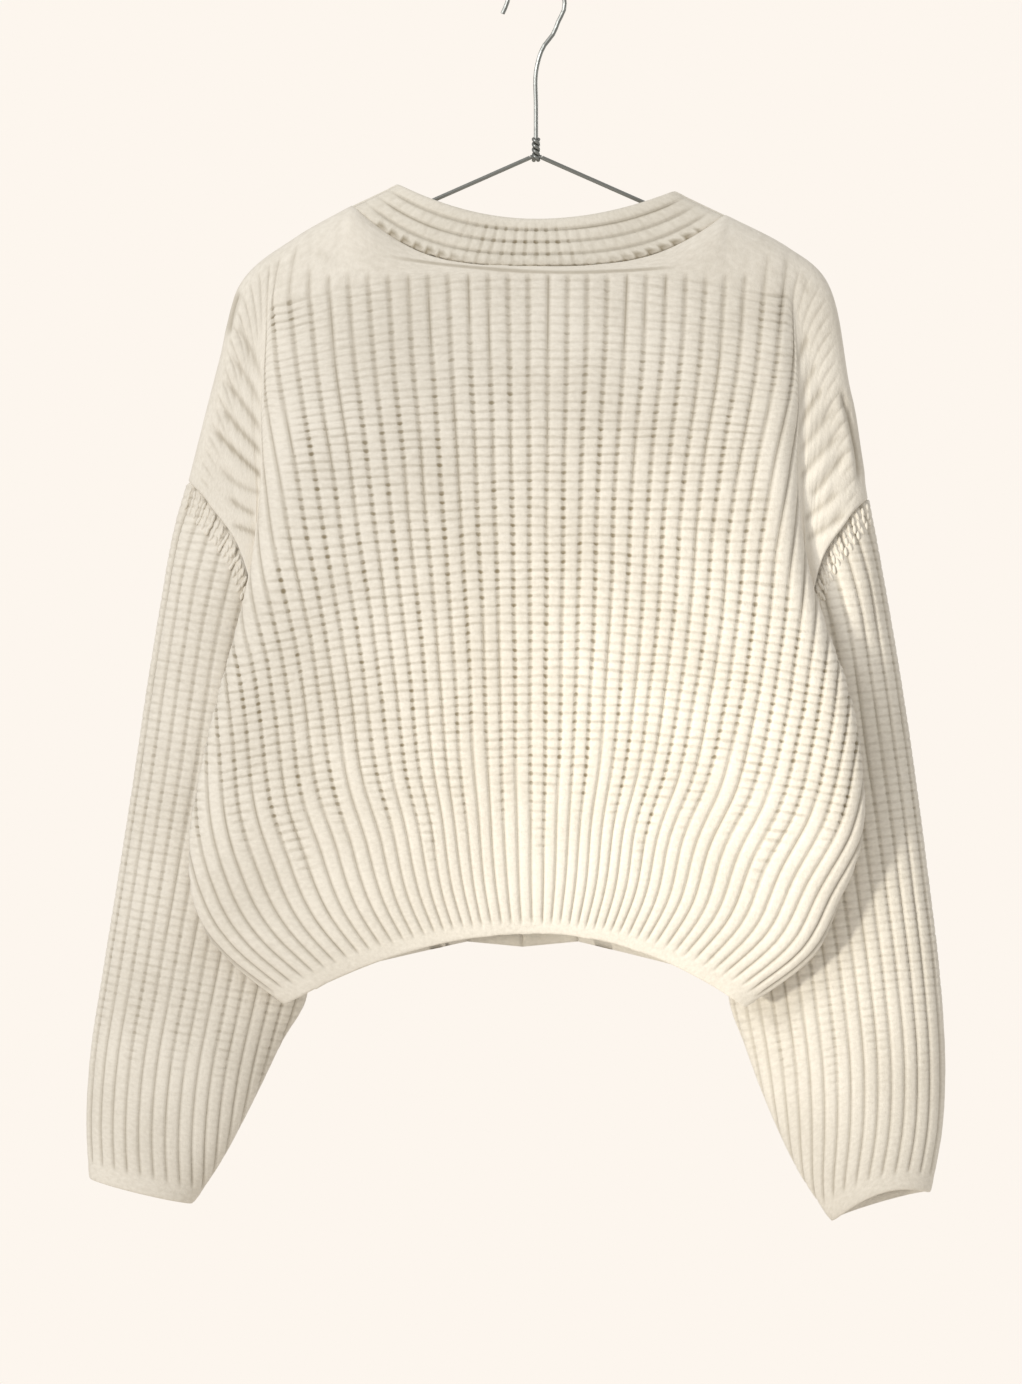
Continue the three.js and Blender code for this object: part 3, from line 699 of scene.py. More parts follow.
def wool_material(name, colour, shade):
    """Wool in half-cardigan rib: matt and soft, with shade painted where it gathers in the valleys
    between ribs.
    """
    material, tree = bare_material(name)
    calc = calculator(tree)

    def stored(attribute):
        return add_node(tree, "ShaderNodeAttribute", attribute_name=attribute).outputs["Fac"]

    def ramp(value, *inputs, **settings):
        return add_node(tree, "ShaderNodeMapRange", value, *inputs, **settings)

    def fall(value, near, far, high=1.0):
        """High at near and 0 at far, with a soft step between."""
        return ramp(value, near, far, high, 0.0, interpolation_type="SMOOTHSTEP")

    def times(a, b):
        return calc("MULTIPLY", a, b)

    def noise(vector, scale, detail=2.0):
        return add_node(tree, "ShaderNodeTexNoise", vector, named={"Scale": scale, "Detail": detail})

    cell = add_node(tree, "ShaderNodeCombineXYZ", stored("wale"), stored("course"))
    # Rows and grooves wander a little, because the yarn is thick and loosely spun.
    wander = noise(cell, 0.9)
    drift = calc("MULTIPLY_ADD", wander.outputs["Fac"], 0.36, stored("course"))
    shifted = calc("SUBTRACT", drift, 0.18)
    across = calc("PINGPONG", stored("wale"), 0.5)
    along = calc("PINGPONG", shifted, 0.5)
    groove_number = calc("ROUND", stored("wale"))
    far_apart = times(groove_number, 5.37)
    slow = times(stored("course"), 0.07)
    stretch = add_node(tree, "ShaderNodeCombineXYZ", far_apart, slow)
    # Painted shade in the grooves: some stretches show as an unbroken dark line and others as a row of
    # dark spots in the pits where rows cross the groove.
    style = noise(stretch, 1.0, 1.0)
    lined = ramp(style.outputs["Fac"], 0.5, 0.62, 0.1, 0.6)
    dotted = ramp(style.outputs["Fac"], 0.42, 0.6, 1.0, 0.7)
    # Painted shade: the wool darkens on either side of each groove, in the hollow where shade gathers.
    valley_shade = fall(across, 0.02, 0.24, 0.34)
    undented = ramp(stored("dent"), 0.2, 0.7, 0.5, 0.0)
    strongest = calc("MAXIMUM", lined, undented)
    # The painted line of shade at the bottom of a groove is strongest where the rows' dents fade out.
    line = times(fall(across, 0.02, 0.1), strongest)
    wide = times(across, 4.4)
    tall = times(along, 2.8)
    reach = add_node(tree, "ShaderNodeVectorMath", add_node(tree, "ShaderNodeCombineXYZ", wide, tall),
                     operation="LENGTH")
    darkness = ramp(noise(cell, 1.7, 1.0).outputs["Fac"], 0.35, 0.62, 0.6, 1.0)
    full_dent = calc("MINIMUM", stored("dent"), 1.0)
    # Spots of painted shade in the pits where a row crosses a groove, some darker than others.
    pit_shade = times(times(fall(reach.outputs["Value"], 0.35, 1.1), times(dotted, darkness)), full_dent)
    grooved = calc("MAXIMUM", line, valley_shade)
    pitted = calc("MAXIMUM", grooved, pit_shade)
    ribs = times(pitted, stored("relief"))
    # Painted shade in the dents between two rows of a rib, in short strokes that come and go.
    patchy = ramp(noise(cell, 0.55, 3.0).outputs["Fac"], 0.36, 0.62, 0.08, 0.34)
    dent_shade = times(times(fall(along, 0.04, 0.3), patchy), stored("dent"))
    both = calc("MAXIMUM", ribs, dent_shade, use_clamp=True)
    # The stored painted shade of folds and pits joins the dark line of the yoke's seam.
    seam = calc("ABSOLUTE", stored("seam"))
    sewn = times(fall(seam, 0.3, 2.0, 0.5), stored("sewn"))
    fold_pit_shade_and_seam = calc("MAXIMUM", stored("painted_shade"), sewn)
    all_shade_and_seam = calc("MAXIMUM", both, fold_pit_shade_and_seam, use_clamp=True)
    place_on = add_node(tree, "ShaderNodeTexCoord").outputs["Object"]
    # Carded fleece is never quite one colour: soft patches about 70 mm across.
    cloud = noise(place_on, 14.0, 3.0)
    grain = noise(cell, 2.6, 2.0)
    both_tints = calc("ADD", cloud.outputs["Fac"], grain.outputs["Fac"])
    tint = ramp(both_tints, 0.75, 1.25, 0.0, 0.2)
    base = mixed(tree, tint, (*colour, 1), (*shade, 1))
    # All the painted shade, with the seam's line, darkens the wool towards the groove colour.
    dark = mixed(tree, all_shade_and_seam, base.outputs[2], (*shade, 1))
    # Fibres are about 1 mm apart, and the plies of the yarn about 2.5 mm.
    fibre = noise(place_on, 900.0, 4.0)
    plies = noise(place_on, 400.0, 1.0)
    fuzz = calc("ADD", fibre.outputs["Fac"], plies.outputs["Fac"])
    bump = add_node(tree, "ShaderNodeBump",
                    named={"Height": fuzz, "Distance": 0.0005, "Strength": 0.5})
    fleece = add_node(tree, "ShaderNodeBsdfPrincipled", named={
        "Base Color": dark.outputs[2], "Roughness": 0.95, "Sheen Weight": 0.12, "Sheen Roughness": 0.6,
        "Specular IOR Level": 0.2, "Normal": bump})
    add_node(tree, "ShaderNodeOutputMaterial", fleece)
    return material


def steel_material():
    """Drawn mild steel wire: satin, with fine marks along it from the die."""
    material, tree = bare_material("drawn steel wire")
    place_on = add_node(tree, "ShaderNodeTexCoord").outputs["Object"]
    marks = add_node(tree, "ShaderNodeTexNoise", place_on, named={"Scale": 700.0, "Detail": 3.0})
    rough = add_node(tree, "ShaderNodeMapRange", marks.outputs["Fac"], 0.3, 0.7, 0.28, 0.45)
    steel = add_node(tree, "ShaderNodeBsdfPrincipled", named={
        "Base Color": (*srgb("#8D8F8C"), 1), "Metallic": 1.0, "Roughness": rough})
    add_node(tree, "ShaderNodeOutputMaterial", steel)
    return material


# ---- Settings ----
class CardiganKnit(bpy.types.PropertyGroup):
    """Sizes of the knitting"""
    rib_height: FloatProperty(
        name="Rib Height", description="From the bottom of a groove to the top of a rib, in millimetres",
        default=1.9, min=0, max=8)
    groove_share: FloatProperty(
        name="Groove Share", description="Share of the rib height that lies under the wall's own surface",
        default=0.55, min=0, max=1)
    row_dent: FloatProperty(
        name="Row Dent", description="Depth of the dent between two rows of a rib, in millimetres",
        default=0.7, min=0, max=3)
    groove_pit: FloatProperty(
        name="Groove Pit", description="Depth of the pit where a row crosses a groove, in millimetres",
        default=0.5, min=0, max=3)
    unevenness: FloatProperty(
        name="Unevenness",
        description="How much higher or lower one stitch lies than the next, in millimetres",
        default=0.9, min=0, max=3)
    seed: IntProperty(name="Seed", description="Changes the small unevenness of the knitting", default=4)


class CardiganColours(bpy.types.PropertyGroup):
    """Colours of the yarn and the wire"""
    wool: FloatVectorProperty(
        name="Wool", description="Undyed cream wool of the panels and sleeves", subtype="COLOR",
        size=3, min=0, max=1, default=srgb("#EEE8DD"))
    # The groove colour is painted shade, laid where little light gets in: grooves, pits, dents between
    # rows and folds. It also darkens the yoke's seam line and tints the wool a little at random.
    shade: FloatVectorProperty(
        name="Groove", description="The same wool in the grooves, where little light gets in",
        subtype="COLOR", size=3, min=0, max=1, default=srgb("#968A73"))
    band: FloatVectorProperty(
        name="Bands", description="The same wool, knitted closer in the bands", subtype="COLOR",
        size=3, min=0, max=1, default=srgb("#EAE4D8"))


def wool(slot):
    """The wool of a slot, made once."""
    colours = bpy.context.scene.cardigan_colours
    name, colour = {
        "rib_knit": ("half-cardigan rib in cream wool", colours.wool),
        "rib_band": ("close rib in cream wool", colours.band),
    }[slot]
    return bpy.data.materials.get(name) or wool_material(name, tuple(colour), tuple(colours.shade))


def finish_cloth(obj, node, slot):
    """Gives a knitted piece its relief and wool, attaches it to the body and hides the frame's part that
    it replaces.
    """
    relief = bpy.data.node_groups.get("rib knit relief") or rib_relief_tree()
    knit = bpy.context.scene.cardigan_knit
    apply_nodes(obj, relief, {
        "Rib Height": knit.rib_height, "Groove Share": knit.groove_share, "Row Dent": knit.row_dent,
        "Groove Pit": knit.groove_pit, "Inside Share": 0.6, "Unevenness": knit.unevenness,
        "Seed": float(knit.seed), "Material": wool(slot)})
    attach(obj, BODY)
    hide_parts(node)


def edge_distance(points, edges=("top", "bottom", "left", "right")):
    """Distance along the grid from each point to the nearest of the named edges, in millimetres."""
    down = np.linalg.norm(np.diff(points, axis=0), axis=-1)
    right = np.linalg.norm(np.diff(points, axis=1), axis=-1)
    zero_row, zero_column = np.zeros((1, points.shape[1])), np.zeros((points.shape[0], 1))
    runs = {
        "top": np.concatenate([zero_row, np.cumsum(down, axis=0)]),
        "left": np.concatenate([zero_column, np.cumsum(right, axis=1)], axis=1),
    }
    runs["bottom"] = runs["top"][-1:] - runs["top"]
    runs["right"] = runs["left"][:, -1:] - runs["left"]
    return np.min([runs[edge] for edge in edges], axis=0)


def hem_roll(course):
    """How far the last rows stand out, in millimetres, as the cast-off edge rolls."""
    return 0.5 * np.sin(np.pi * np.clip((course - 78.4) / 1.6, 0, 1))


def free_edge_roll(wale):
    """How far a band's outermost rib stands out, in millimetres."""
    return 0.9 * np.sin(np.pi * np.clip(wale, 0, 1))


def beside_armhole(course):
    """1 beside the armhole, and down to 0 at the row where it ends."""
    return 1 - smooth(course, ARMHOLE_COURSE - 3, ARMHOLE_COURSE)


def uneven(points, wale, course, seed, size):
    """Lets the stitches lie about size millimetres out of place, as hand-tensioned knitting does."""
    rng = np.random.default_rng(seed)
    shift = np.zeros(points.shape[:2])
    for _ in range(5):
        a, b, phase = rng.uniform(0.15, 1.1), rng.uniform(0.1, 0.7), rng.uniform(0, 6.3)
        shift = shift + np.sin(a * wale + b * course + phase)
    column = rng.uniform(-0.6, 0.6, 400)[np.floor(wale).astype(int) % 400]
    down = unit(np.gradient(points, axis=0))
    right = unit(np.gradient(points, axis=1))
    side = np.sin(0.35 * course + 1.7 * np.round(wale) + seed) * 0.25
    inside = np.ones(points.shape[:2])
    inside[[0, -1]] = 0
    inside[:, [0, -1]] = 0
    return points + (size * inside * (0.3 * shift + column))[..., None] * down + (
        size * inside * side)[..., None] * right


def distance_to_line(spots, line):
    """How far each flat spot is from a bent line, and at what share of the line it is closest."""
    best, share = np.full(len(spots), np.inf), np.zeros(len(spots))
    for i, (a, b) in enumerate(zip(line[:-1], line[1:])):
        step = b - a
        along = np.clip((spots - a) @ step / (step @ step), 0, 1)
        distance = np.linalg.norm(spots - a - along[:, None] * step, axis=1)
        closer = distance < best
        best[closer] = distance[closer]
        share[closer] = (i + along[closer]) / (len(line) - 1)
    return best, share


# The dark line at the bottom of a fold is painted shade, where shade falls in the trough.
CREASE_WIDTH = 2.2         # half the width of the dark line at the bottom of a fold


def press_folds(points, folds, where, depth_share):
    """Presses folds into a cloth: each a soft trough along a bent line, with a ridge on either side.

    A fold's line is given by three points, out from the middle and down from the hanger's neck. Returns
    the cloth's points and how dark each lies in a fold, which is painted shade at the bottom of the fold."""
    normals = lattice_normals(points)
    spots = np.stack([np.abs(points[..., 0]), -HOOK_TO_NECK - points[..., 2]], axis=-1)
    push, dark = np.zeros(spots.shape[:2]), np.zeros(spots.shape[:2])
    inside = where > 0
    spots, where = spots[inside], where[inside]
    t = np.linspace(0, 1, 13)[:, None]
    for fold in folds:
        start, middle, end = (np.array(fold[i:i + 2], float) for i in (0, 2, 4))
        bend = 2 * middle - (start + end) / 2
        line = (1 - t) ** 2 * start + 2 * t * (1 - t) * bend + t * t * end
        depth, width, shade = fold[6:]
        distance, share = distance_to_line(spots, line)
        taper = smooth(share, 0, 0.25) * smooth(share, 1.0, 0.85) * where
        ridge = 0.4 * np.exp(-((distance - 2 * width) / width) ** 2)
        push[inside] += depth * taper * (ridge - np.exp(-(distance / width) ** 2))
        shaded = shade * taper * np.exp(-(distance / CREASE_WIDTH) ** 2)
        dark[inside] = np.maximum(dark[inside], shaded)
    return points + (depth_share * push)[..., None] * normals, dark


# ---- Pieces ----
# Folds of the dropped shoulders: the line's start, middle and end, each out and drop, then how deep
# and wide the trough is and how dark the painted shade at its bottom lies.
BACK_FOLDS = {
    "left": (
        (219, 102, 225, 116, 229, 138, 2.2, 2.0, 0.75),
        (224, 130, 212, 150, 195, 192, 2.6, 3.4, 0.45),
        (228, 152, 215, 170, 196, 206, 2.8, 3.6, 0.45),
        (233, 169, 217, 190, 196, 220, 3.2, 3.6, 0.55),
        (234, 190, 220, 208, 196, 233, 3.6, 3.8, 0.65),
        (242, 204, 223, 225, 197, 248, 3.6, 4.0, 0.75),
        (238, 232, 222, 248, 201, 255, 2.8, 4.0, 0.4),
        (230, 256, 220, 265, 207, 271, 3.0, 3.2, 0.55),
        (227, 278, 216, 282, 204, 287, 2.6, 3.0, 0.6),
        (170, 62, 166, 72, 150, 82, 1.8, 2.4, 0.4),
        (197, 78, 193, 90, 190, 104, 1.8, 2.2, 0.35),
    ),
    "right": (
        (195, 88, 200, 97, 205, 106, 2.2, 1.8, 0.85),
        (204, 134, 194, 158, 186, 186, 3.2, 2.6, 0.8),
        (211, 156, 202, 172, 191, 202, 2.8, 3.2, 0.5),
        (216, 174, 203, 192, 190, 218, 3.0, 3.6, 0.6),
        (225, 187, 211, 205, 194, 226, 2.8, 3.8, 0.4),
        (229, 209, 213, 224, 194, 247, 3.0, 4.0, 0.45),
        (232, 221, 217, 242, 203, 258, 3.2, 3.6, 0.55),
        (229, 250, 214, 263, 197, 276, 3.2, 3.6, 0.5),
        (234, 267, 217, 279, 199, 290, 2.8, 3.4, 0.5),
        (225, 172, 235, 206, 241, 250, 2.4, 2.0, 0.75),
        (166, 62, 168, 76, 179, 92, 1.8, 2.4, 0.35),
    ),
}
FRONT_FOLDS = {
    "left": (
        (222, 128, 209, 154, 190, 190, 2.6, 3.6, 0.4),
        (231, 160, 214, 186, 192, 214, 3.4, 3.8, 0.5),
        (236, 188, 216, 214, 194, 238, 2.8, 4.2, 0.35),
        (238, 222, 219, 240, 199, 256, 3.2, 3.6, 0.5),
        (231, 252, 214, 266, 200, 274, 2.6, 3.4, 0.4),
    ),
    "right": (
        (208, 136, 197, 160, 184, 190, 3.0, 3.4, 0.5),
        (219, 166, 202, 190, 188, 212, 2.6, 4.0, 0.35),
        (226, 196, 209, 218, 190, 238, 3.4, 3.8, 0.5),
        (232, 232, 213, 250, 196, 262, 2.8, 3.6, 0.4),
    ),
}
UNEVEN_BY = 0.7            # about how far a stitch lies out of place, in millimetres
YOKE_DROP = 90.0           # the level at which the back's ribs begin
YOKE_SAG = 14.0            # how far the yoke's seam rises towards its ends
YOKE_MIDDLE = 24.0         # how far right of the middle its lowest place is
YOKE_HALF = 143.0          # half the length over which it rises that far
SHOULDER_MARGIN = 17.0     # plain cloth between the shoulder line and the ribs
FINE_STEPS = 4             # how many levels of the back are worked out for each row


def yoke_line(x):
    """The drop of the seam across the yoke, which sags a little to the right of the middle."""
    return YOKE_DROP + 1 - YOKE_SAG * ((x - YOKE_MIDDLE) / YOKE_HALF) ** 2


def level_rows(columns, rows):
    """The back at its ribs and rows. Towards the sides the rows are gathered up, so that they lie level.

    Returns the points, and where each would lie if the rows were not gathered."""
    fine = np.linspace(0, COURSES, int(COURSES) * FINE_STEPS + 1)
    grid = back_points(columns - RIB_OFFSET * (1 - np.abs(columns) / BACK_WALES), fine)
    ribs = read_table(FACE_RIBS, fine)["ribs"][:, None]
    lift = ROW_LIFT * smooth(fine, 5, 30) * smooth(fine, 80, 60)
    row_of = fine[:, None] + lift[:, None] * np.minimum(np.abs(columns) / ribs, 1) ** 2
    levels = np.stack([np.interp(rows, line, fine) for line in row_of.T], axis=1)
    at = np.clip(levels * FINE_STEPS, 0, len(fine) - 1.001)
    low = np.floor(at).astype(int)
    slopes = np.gradient(grid, axis=0)
    column = np.arange(len(columns))
    points = hermite(grid[low, column], slopes[low, column], grid[low + 1, column],
                     slopes[low + 1, column], (at - low)[..., None])
    return points, levels


class CARDIGAN_OT_back(bpy.types.Operator):
    """Knit the back"""
    bl_idname = "cardigan.back"
    bl_label = "Back"

    def execute(self, context):
        columns = steps_between(-BACK_WALES, BACK_WALES, WALE_STEPS)
        rows = panel_rows(2, 0.5, 1.0, 1.5)
        wale, course = np.meshgrid(columns, rows)
        points, levels = level_rows(columns, rows)
        out = np.abs(wale)
        face = read_table(FACE_RIBS, levels)["ribs"]    # ribs from the middle out to the side fold
        # Beyond the side fold the dropped shoulder drapes smooth, down to where the armhole ends.
        drape = smooth(out - face, 0.2, 1.2) * smooth(levels, 2, 6) * beside_armhole(levels)
        folded = np.maximum(drape, smooth(out, 9, 10) * (1 - smooth(levels, 5, 8)))
        dark = np.zeros(wale.shape)
        # Each side's folds are pressed in, with painted shade at the bottom of each fold, fainter close
        # to the side fold.
        for name, side in SIDES.items():
            mine = folded * (wale * side["sign"] > 0)
            points, shade = press_folds(points, BACK_FOLDS[name], mine, smooth(out - face, 0.8, 4.5))
            dark = np.maximum(dark, shade * mix(0.25, 0.85, smooth(out - face, 0.5, 4)))
        seed = context.scene.cardigan_knit.seed
        points = uneven(points, wale, course, seed, UNEVEN_BY * (1 - drape))
        calm = drape * smooth(BACK_WALES - out, 0, 2)
        points = calmed(points, calm, 10)
        x, drop = points[..., 0], -HOOK_TO_NECK - points[..., 2]
        from_ridge = edge_distance(points, ("top",))
        # The ribs begin at the yoke, and higher towards the shoulders, past a plain margin.
        begin = YOKE_DROP - 22 * smooth(np.abs(x), 165, 176)
        margin = smooth(from_ridge, SHOULDER_MARGIN - 4, SHOULDER_MARGIN + 4)
        shown = smooth(drop, begin, begin + 5) * smooth(from_ridge, 0.3, 1) * np.where(
            np.abs(x) > 150, margin, 1)
        hem = 1 - smooth(course, *HEM_FADE)
        relief = shown * hem * (1 - drape) * mix(0.5, 1, smooth(course, 3, 6))
        # The dents of the rows fade out towards the hem, at another row in each rib.
        fade = 61 + 4 * np.sin(columns * 2.1) + 3 * np.sin(columns * 0.7 + 1)
        # Deeper dents under the shoulder's corner, and hardly any on the last ribs before the fold.
        corner = smooth(np.abs(x), 160, 180) * (1 - smooth(drop, 122, 140)) * (out < face)
        smooth_ribs = 0.8 * smooth(out - face, -2.6, -1.4) * smooth(levels, 14, 18) * (
            1 - smooth(levels, 36, 42))
        rows_begin = smooth(course, 4.2, 5.0) * mix(0.6, 1, smooth(levels, 8, 24))
        dent = rows_begin * shown * (1 - smooth(course, fade, fade + 7)) * (1 - drape) * (
            1 - smooth_ribs) * (1 + corner)
        distance = edge_distance(points)
        # The yoke's sewn line, drawn across the middle only.
        seam = np.where(out < 12, drop - yoke_line(x), FAR)
        sewn = smooth(x, -121, -80) * smooth(x, 112, 80)
        masks = {"relief": relief, "dent": dent, "tube": hem_roll(course), "painted_shade": dark, "seam": seam,
                 "sewn": sewn}
        # The wall is thinner where it turns forward under the arm, in too tight a bend for all of it.
        thin = 1 - 0.5 * drape * (1 - smooth(out - face, 4, 6))
        obj = knit_shell("back_knit", points, wale, course, lip(distance) * thin, masks, calm=drape)
        finish_cloth(obj, "back", "rib_knit")
        return {"FINISHED"}


class CARDIGAN_OT_fronts(bpy.types.Operator):
    """Knit the two fronts"""
    bl_idname = "cardigan.fronts"
    bl_label = "Fronts"

    def execute(self, context):
        columns = steps_between(0, FRONT_WALES, WALE_STEPS)
        rows = panel_rows(2, 0.5, 1.0, 1.5)
        for name, side in SIDES.items():
            ordered = columns[::-1] if side["sign"] < 0 else columns
            wale, course = np.meshgrid(ordered, rows)
            points = front_points(side, np.clip(ordered / FRONT_WALES, 0.003, 1), rows)
            # The cloth is smooth this many ribs in from the armhole, fewer of them further down.
            folded = np.interp(course, (5, 14, 24, 38), (6.8, 5.3, 3.8, 2.6))
            drape = smooth(folded - wale, -0.2, 0.8) * smooth(course, 2, 6) * beside_armhole(course)
            # Folds are pressed into the drape, with painted shade at the bottom of each.
            points, dark = press_folds(points, FRONT_FOLDS[name], drape, 1)
            seed = context.scene.cardigan_knit.seed + 3
            points = uneven(points, wale, course, seed, UNEVEN_BY * (1 - drape))
            from_ridge = edge_distance(points, ("top",))
            shown = smooth(from_ridge, SHOULDER_MARGIN - 3, SHOULDER_MARGIN + 3)
            relief = shown * (1 - smooth(course, *HEM_FADE)) * (1 - drape)
            fade = 60 + 5 * np.sin(ordered * 1.7 + side["sign"])
            dent = shown * (1 - smooth(course, fade, fade + 8)) * (1 - drape)
            distance = edge_distance(points)
            masks = {"relief": relief, "dent": dent, "tube": hem_roll(course), "painted_shade": dark}
            obj = knit_shell(f"front_{name}_knit", points, wale, course, lip(distance), masks)
            finish_cloth(obj, f"front_{name}", "rib_knit")
        return {"FINISHED"}


SLEEVE_WALES = 18          # ribs from the outer line of a sleeve to the underarm seam, at its top
SLEEVE_PITCH = (12.4, 10.0)  # width of a rib at the top of the sleeve and at the cuff
SLEEVE_COURSE = 6.5        # height of one row of the sleeve
SLEEVE_RELIEF = 0.85       # share of the full relief, as the cloth hangs stretched
SLEEVE_DENT = 0.65         # the same for the dents of the rows


class CARDIGAN_OT_sleeves(bpy.types.Operator):
    """Knit the two sleeves"""
    bl_idname = "cardigan.sleeves"
    bl_label = "Sleeves"

    def execute(self, context):
        for name, side in SIDES.items():
            self.knit(name, side)
        return {"FINISHED"}

    def knit(self, name, side):
        sign = side["sign"]
        turns = np.linspace(0, 1, 257)
        cloth = sleeve_points(side, turns, np.linspace(0, 1, 161))    # finely, to be cut at each row
        # The end under the panel's edge: inboard, and further inside the armhole.
        under = cloth[:, :1] - SLEEVE_UNDERLAP * sleeve_way(side)
        under[:, 0, 1] -= np.sign(under[:, 0, 1]) * np.minimum(3, np.abs(under[:, 0, 1]))
        cloth = np.concatenate([under, cloth], axis=1)
        # The rows lie at one level across the sleeve. They meet the cuff, whose edge isn't level.
        lean = np.array(side["sleeve_lean"])
        down = (cloth @ lean) / SLEEVE_COURSE
        ends = down[:, -1]
        along = np.linspace(0, 1, cloth.shape[1])
        down = down - (ends[:, None] - ends.mean()) * smooth(along, 0.35, 1)
        top, bottom = down.min(), ends.mean()
        course_count = math.floor(bottom - top)
        rows = np.concatenate([steps_between(0, course_count - 1, COURSE_STEPS),
                               course_count + np.array([-0.6, -0.3, -0.12, -0.04, 0])])
        levels = bottom - course_count + rows
        columns = steps_between(-SLEEVE_WALES, SLEEVE_WALES, WALE_STEPS)
        points = np.empty((len(rows), len(columns), 3))
        near = np.empty((len(rows), len(columns)))
        for i, level in enumerate(levels):
            section = np.stack([[np.interp(level, down[k], cloth[k, :, axis]) for axis in range(3)]
                                for k in range(len(turns))])
            alive = down[:, 0] <= level
            steps = np.linalg.norm(np.diff(section, axis=0), axis=-1)
            run = np.concatenate([[0], np.cumsum(steps)])
            pitch = mix(*SLEEVE_PITCH, smooth(rows[i] / course_count))
            count = (run - run[len(turns) // 2]) / pitch
            if not alive.any():
                alive[len(turns) // 2] = True
            low, high = count[alive].min(), count[alive].max()
            reach = np.clip(columns, low, high)
            points[i] = np.stack([np.interp(reach, count, line) for line in section.T], axis=-1)
            near[i] = np.minimum(reach - low, high - reach) * pitch
        if sign < 0:
            points, near, columns = points[:, ::-1], near[:, ::-1], -columns[::-1]
        wale, course = np.meshgrid(columns, rows)
        obj = self.shell(name, points, wale, course, near, course_count)
        finish_cloth(obj, f"sleeve_{name}", "rib_knit")

    def shell(self, name, points, wale, course, near, course_count):
        fade_in = smooth(near, 1.0, 5.0)
        relief = SLEEVE_RELIEF * fade_in * (1 - smooth(course, course_count - 2.6, course_count - 1.6))
        fade = course_count - 22 + 5 * np.sin(wale * 1.9)
        dent = SLEEVE_DENT * fade_in * (1 - smooth(course, fade, fade + 9))
        below = (course_count - course) * SLEEVE_COURSE
        distance = np.minimum(near, below)
        tube = 0.5 * np.sin(np.pi * np.clip(1 - (course_count - course) / 2.3, 0, 1))
        masks = {"relief": relief, "dent": dent, "tube": tube}
        return knit_shell(f"sleeve_{name}_knit", points, wale, course, lip(distance), masks, merge=True)


class CARDIGAN_OT_neckband(bpy.types.Operator):
    """Knit the neckband across the back neck"""
    bl_idname = "cardigan.neckband"
    bl_label = "Neckband"

    def execute(self, context):
        across = steps_between(0, BAND_WALES, WALE_STEPS)
        along = steps_between(-NECK_COURSES, NECK_COURSES, COURSE_STEPS)
        angle = np.arccos(np.clip(np.abs(along) / NECK_COURSES, 0, 1))
        edges = {}
        for edge in ("free", "sewn"):
            left, right = (neck_edge(SIDES[name], angle, edge) for name in ("left", "right"))
            edges[edge] = np.where((along < 0)[:, None], left, right)
            edges[edge][:, 1] = np.minimum(edges[edge][:, 1], -SEAM_HALF)
        share = (across / BAND_WALES)[:, None, None]
        points = mix(edges["free"][None], edges["sewn"][None], share)
        wale = np.broadcast_to(across[:, None], points.shape[:2])
        course = np.broadcast_to(along[None], points.shape[:2])
        distance = edge_distance(points)
        ends = 1 - smooth(np.abs(course), 13.2, 14.9)
        relief = smooth(wale, 0.4, 0.9) * ends
        # The rows' dents are deepest a little left of the centre and along the sewn edge.
        middle = 1 - smooth(np.abs(course + 1.5), 3, 7)
        dent = ends * smooth(wale, 0.5, 1) * mix(0.35, 1.0, np.maximum(middle, smooth(wale, 3.6, 3.9)))
        tube = free_edge_roll(wale) * mix(0.4, 1, ends)
        # Painted shade in pits along the sewn edge, where its stitches pull in.
        beat = np.abs((course - 0.25 * (4 - wale)) % 1 - 0.5) * 2
        pits = smooth(wale, 3.45, 3.62) * smooth(beat, 0.45, 0.8) * (
            1 - smooth(np.abs(course), 12.8, 13.4))
        masks = {"relief": relief, "dent": dent, "tube": tube,
                 "painted_shade": pits * mix(0.25, 0.9, smooth(np.abs(course), 5, 9))}
        obj = knit_shell("neckband_knit", points, wale, course, lip(distance), masks, lying=True)
        finish_cloth(obj, "neckband", "rib_band")
        return {"FINISHED"}


class CARDIGAN_OT_bands(bpy.types.Operator):
    """Knit the two front bands"""
    bl_idname = "cardigan.bands"
    bl_label = "Front Bands"

    def execute(self, context):
        across = steps_between(0, BAND_WALES, WALE_STEPS)
        rows = panel_rows(1)
        for name, side in SIDES.items():
            free, sewn = (band_edge(side, edge, rows)[:, None] for edge in ("free", "sewn"))
            ordered = across if side["sign"] < 0 else across[::-1]
            points = mix(free, sewn, (ordered / BAND_WALES)[None, :, None])
            wale, course = np.meshgrid(ordered, rows)
            distance = edge_distance(points)
            begin = smooth(course, 0.6, 3)
            relief = 0.75 * smooth(wale, 0.4, 0.9) * (1 - smooth(course, 78.4, 79.2)) * begin
            dent = relief * 0.8
            tube = free_edge_roll(wale) * mix(0.4, 1, begin)
            masks = {"relief": relief, "dent": dent, "tube": tube}
            obj = knit_shell(f"band_{name}_knit", points, wale, course, lip(distance), masks)
            finish_cloth(obj, f"band_{name}", "rib_band")
        return {"FINISHED"}


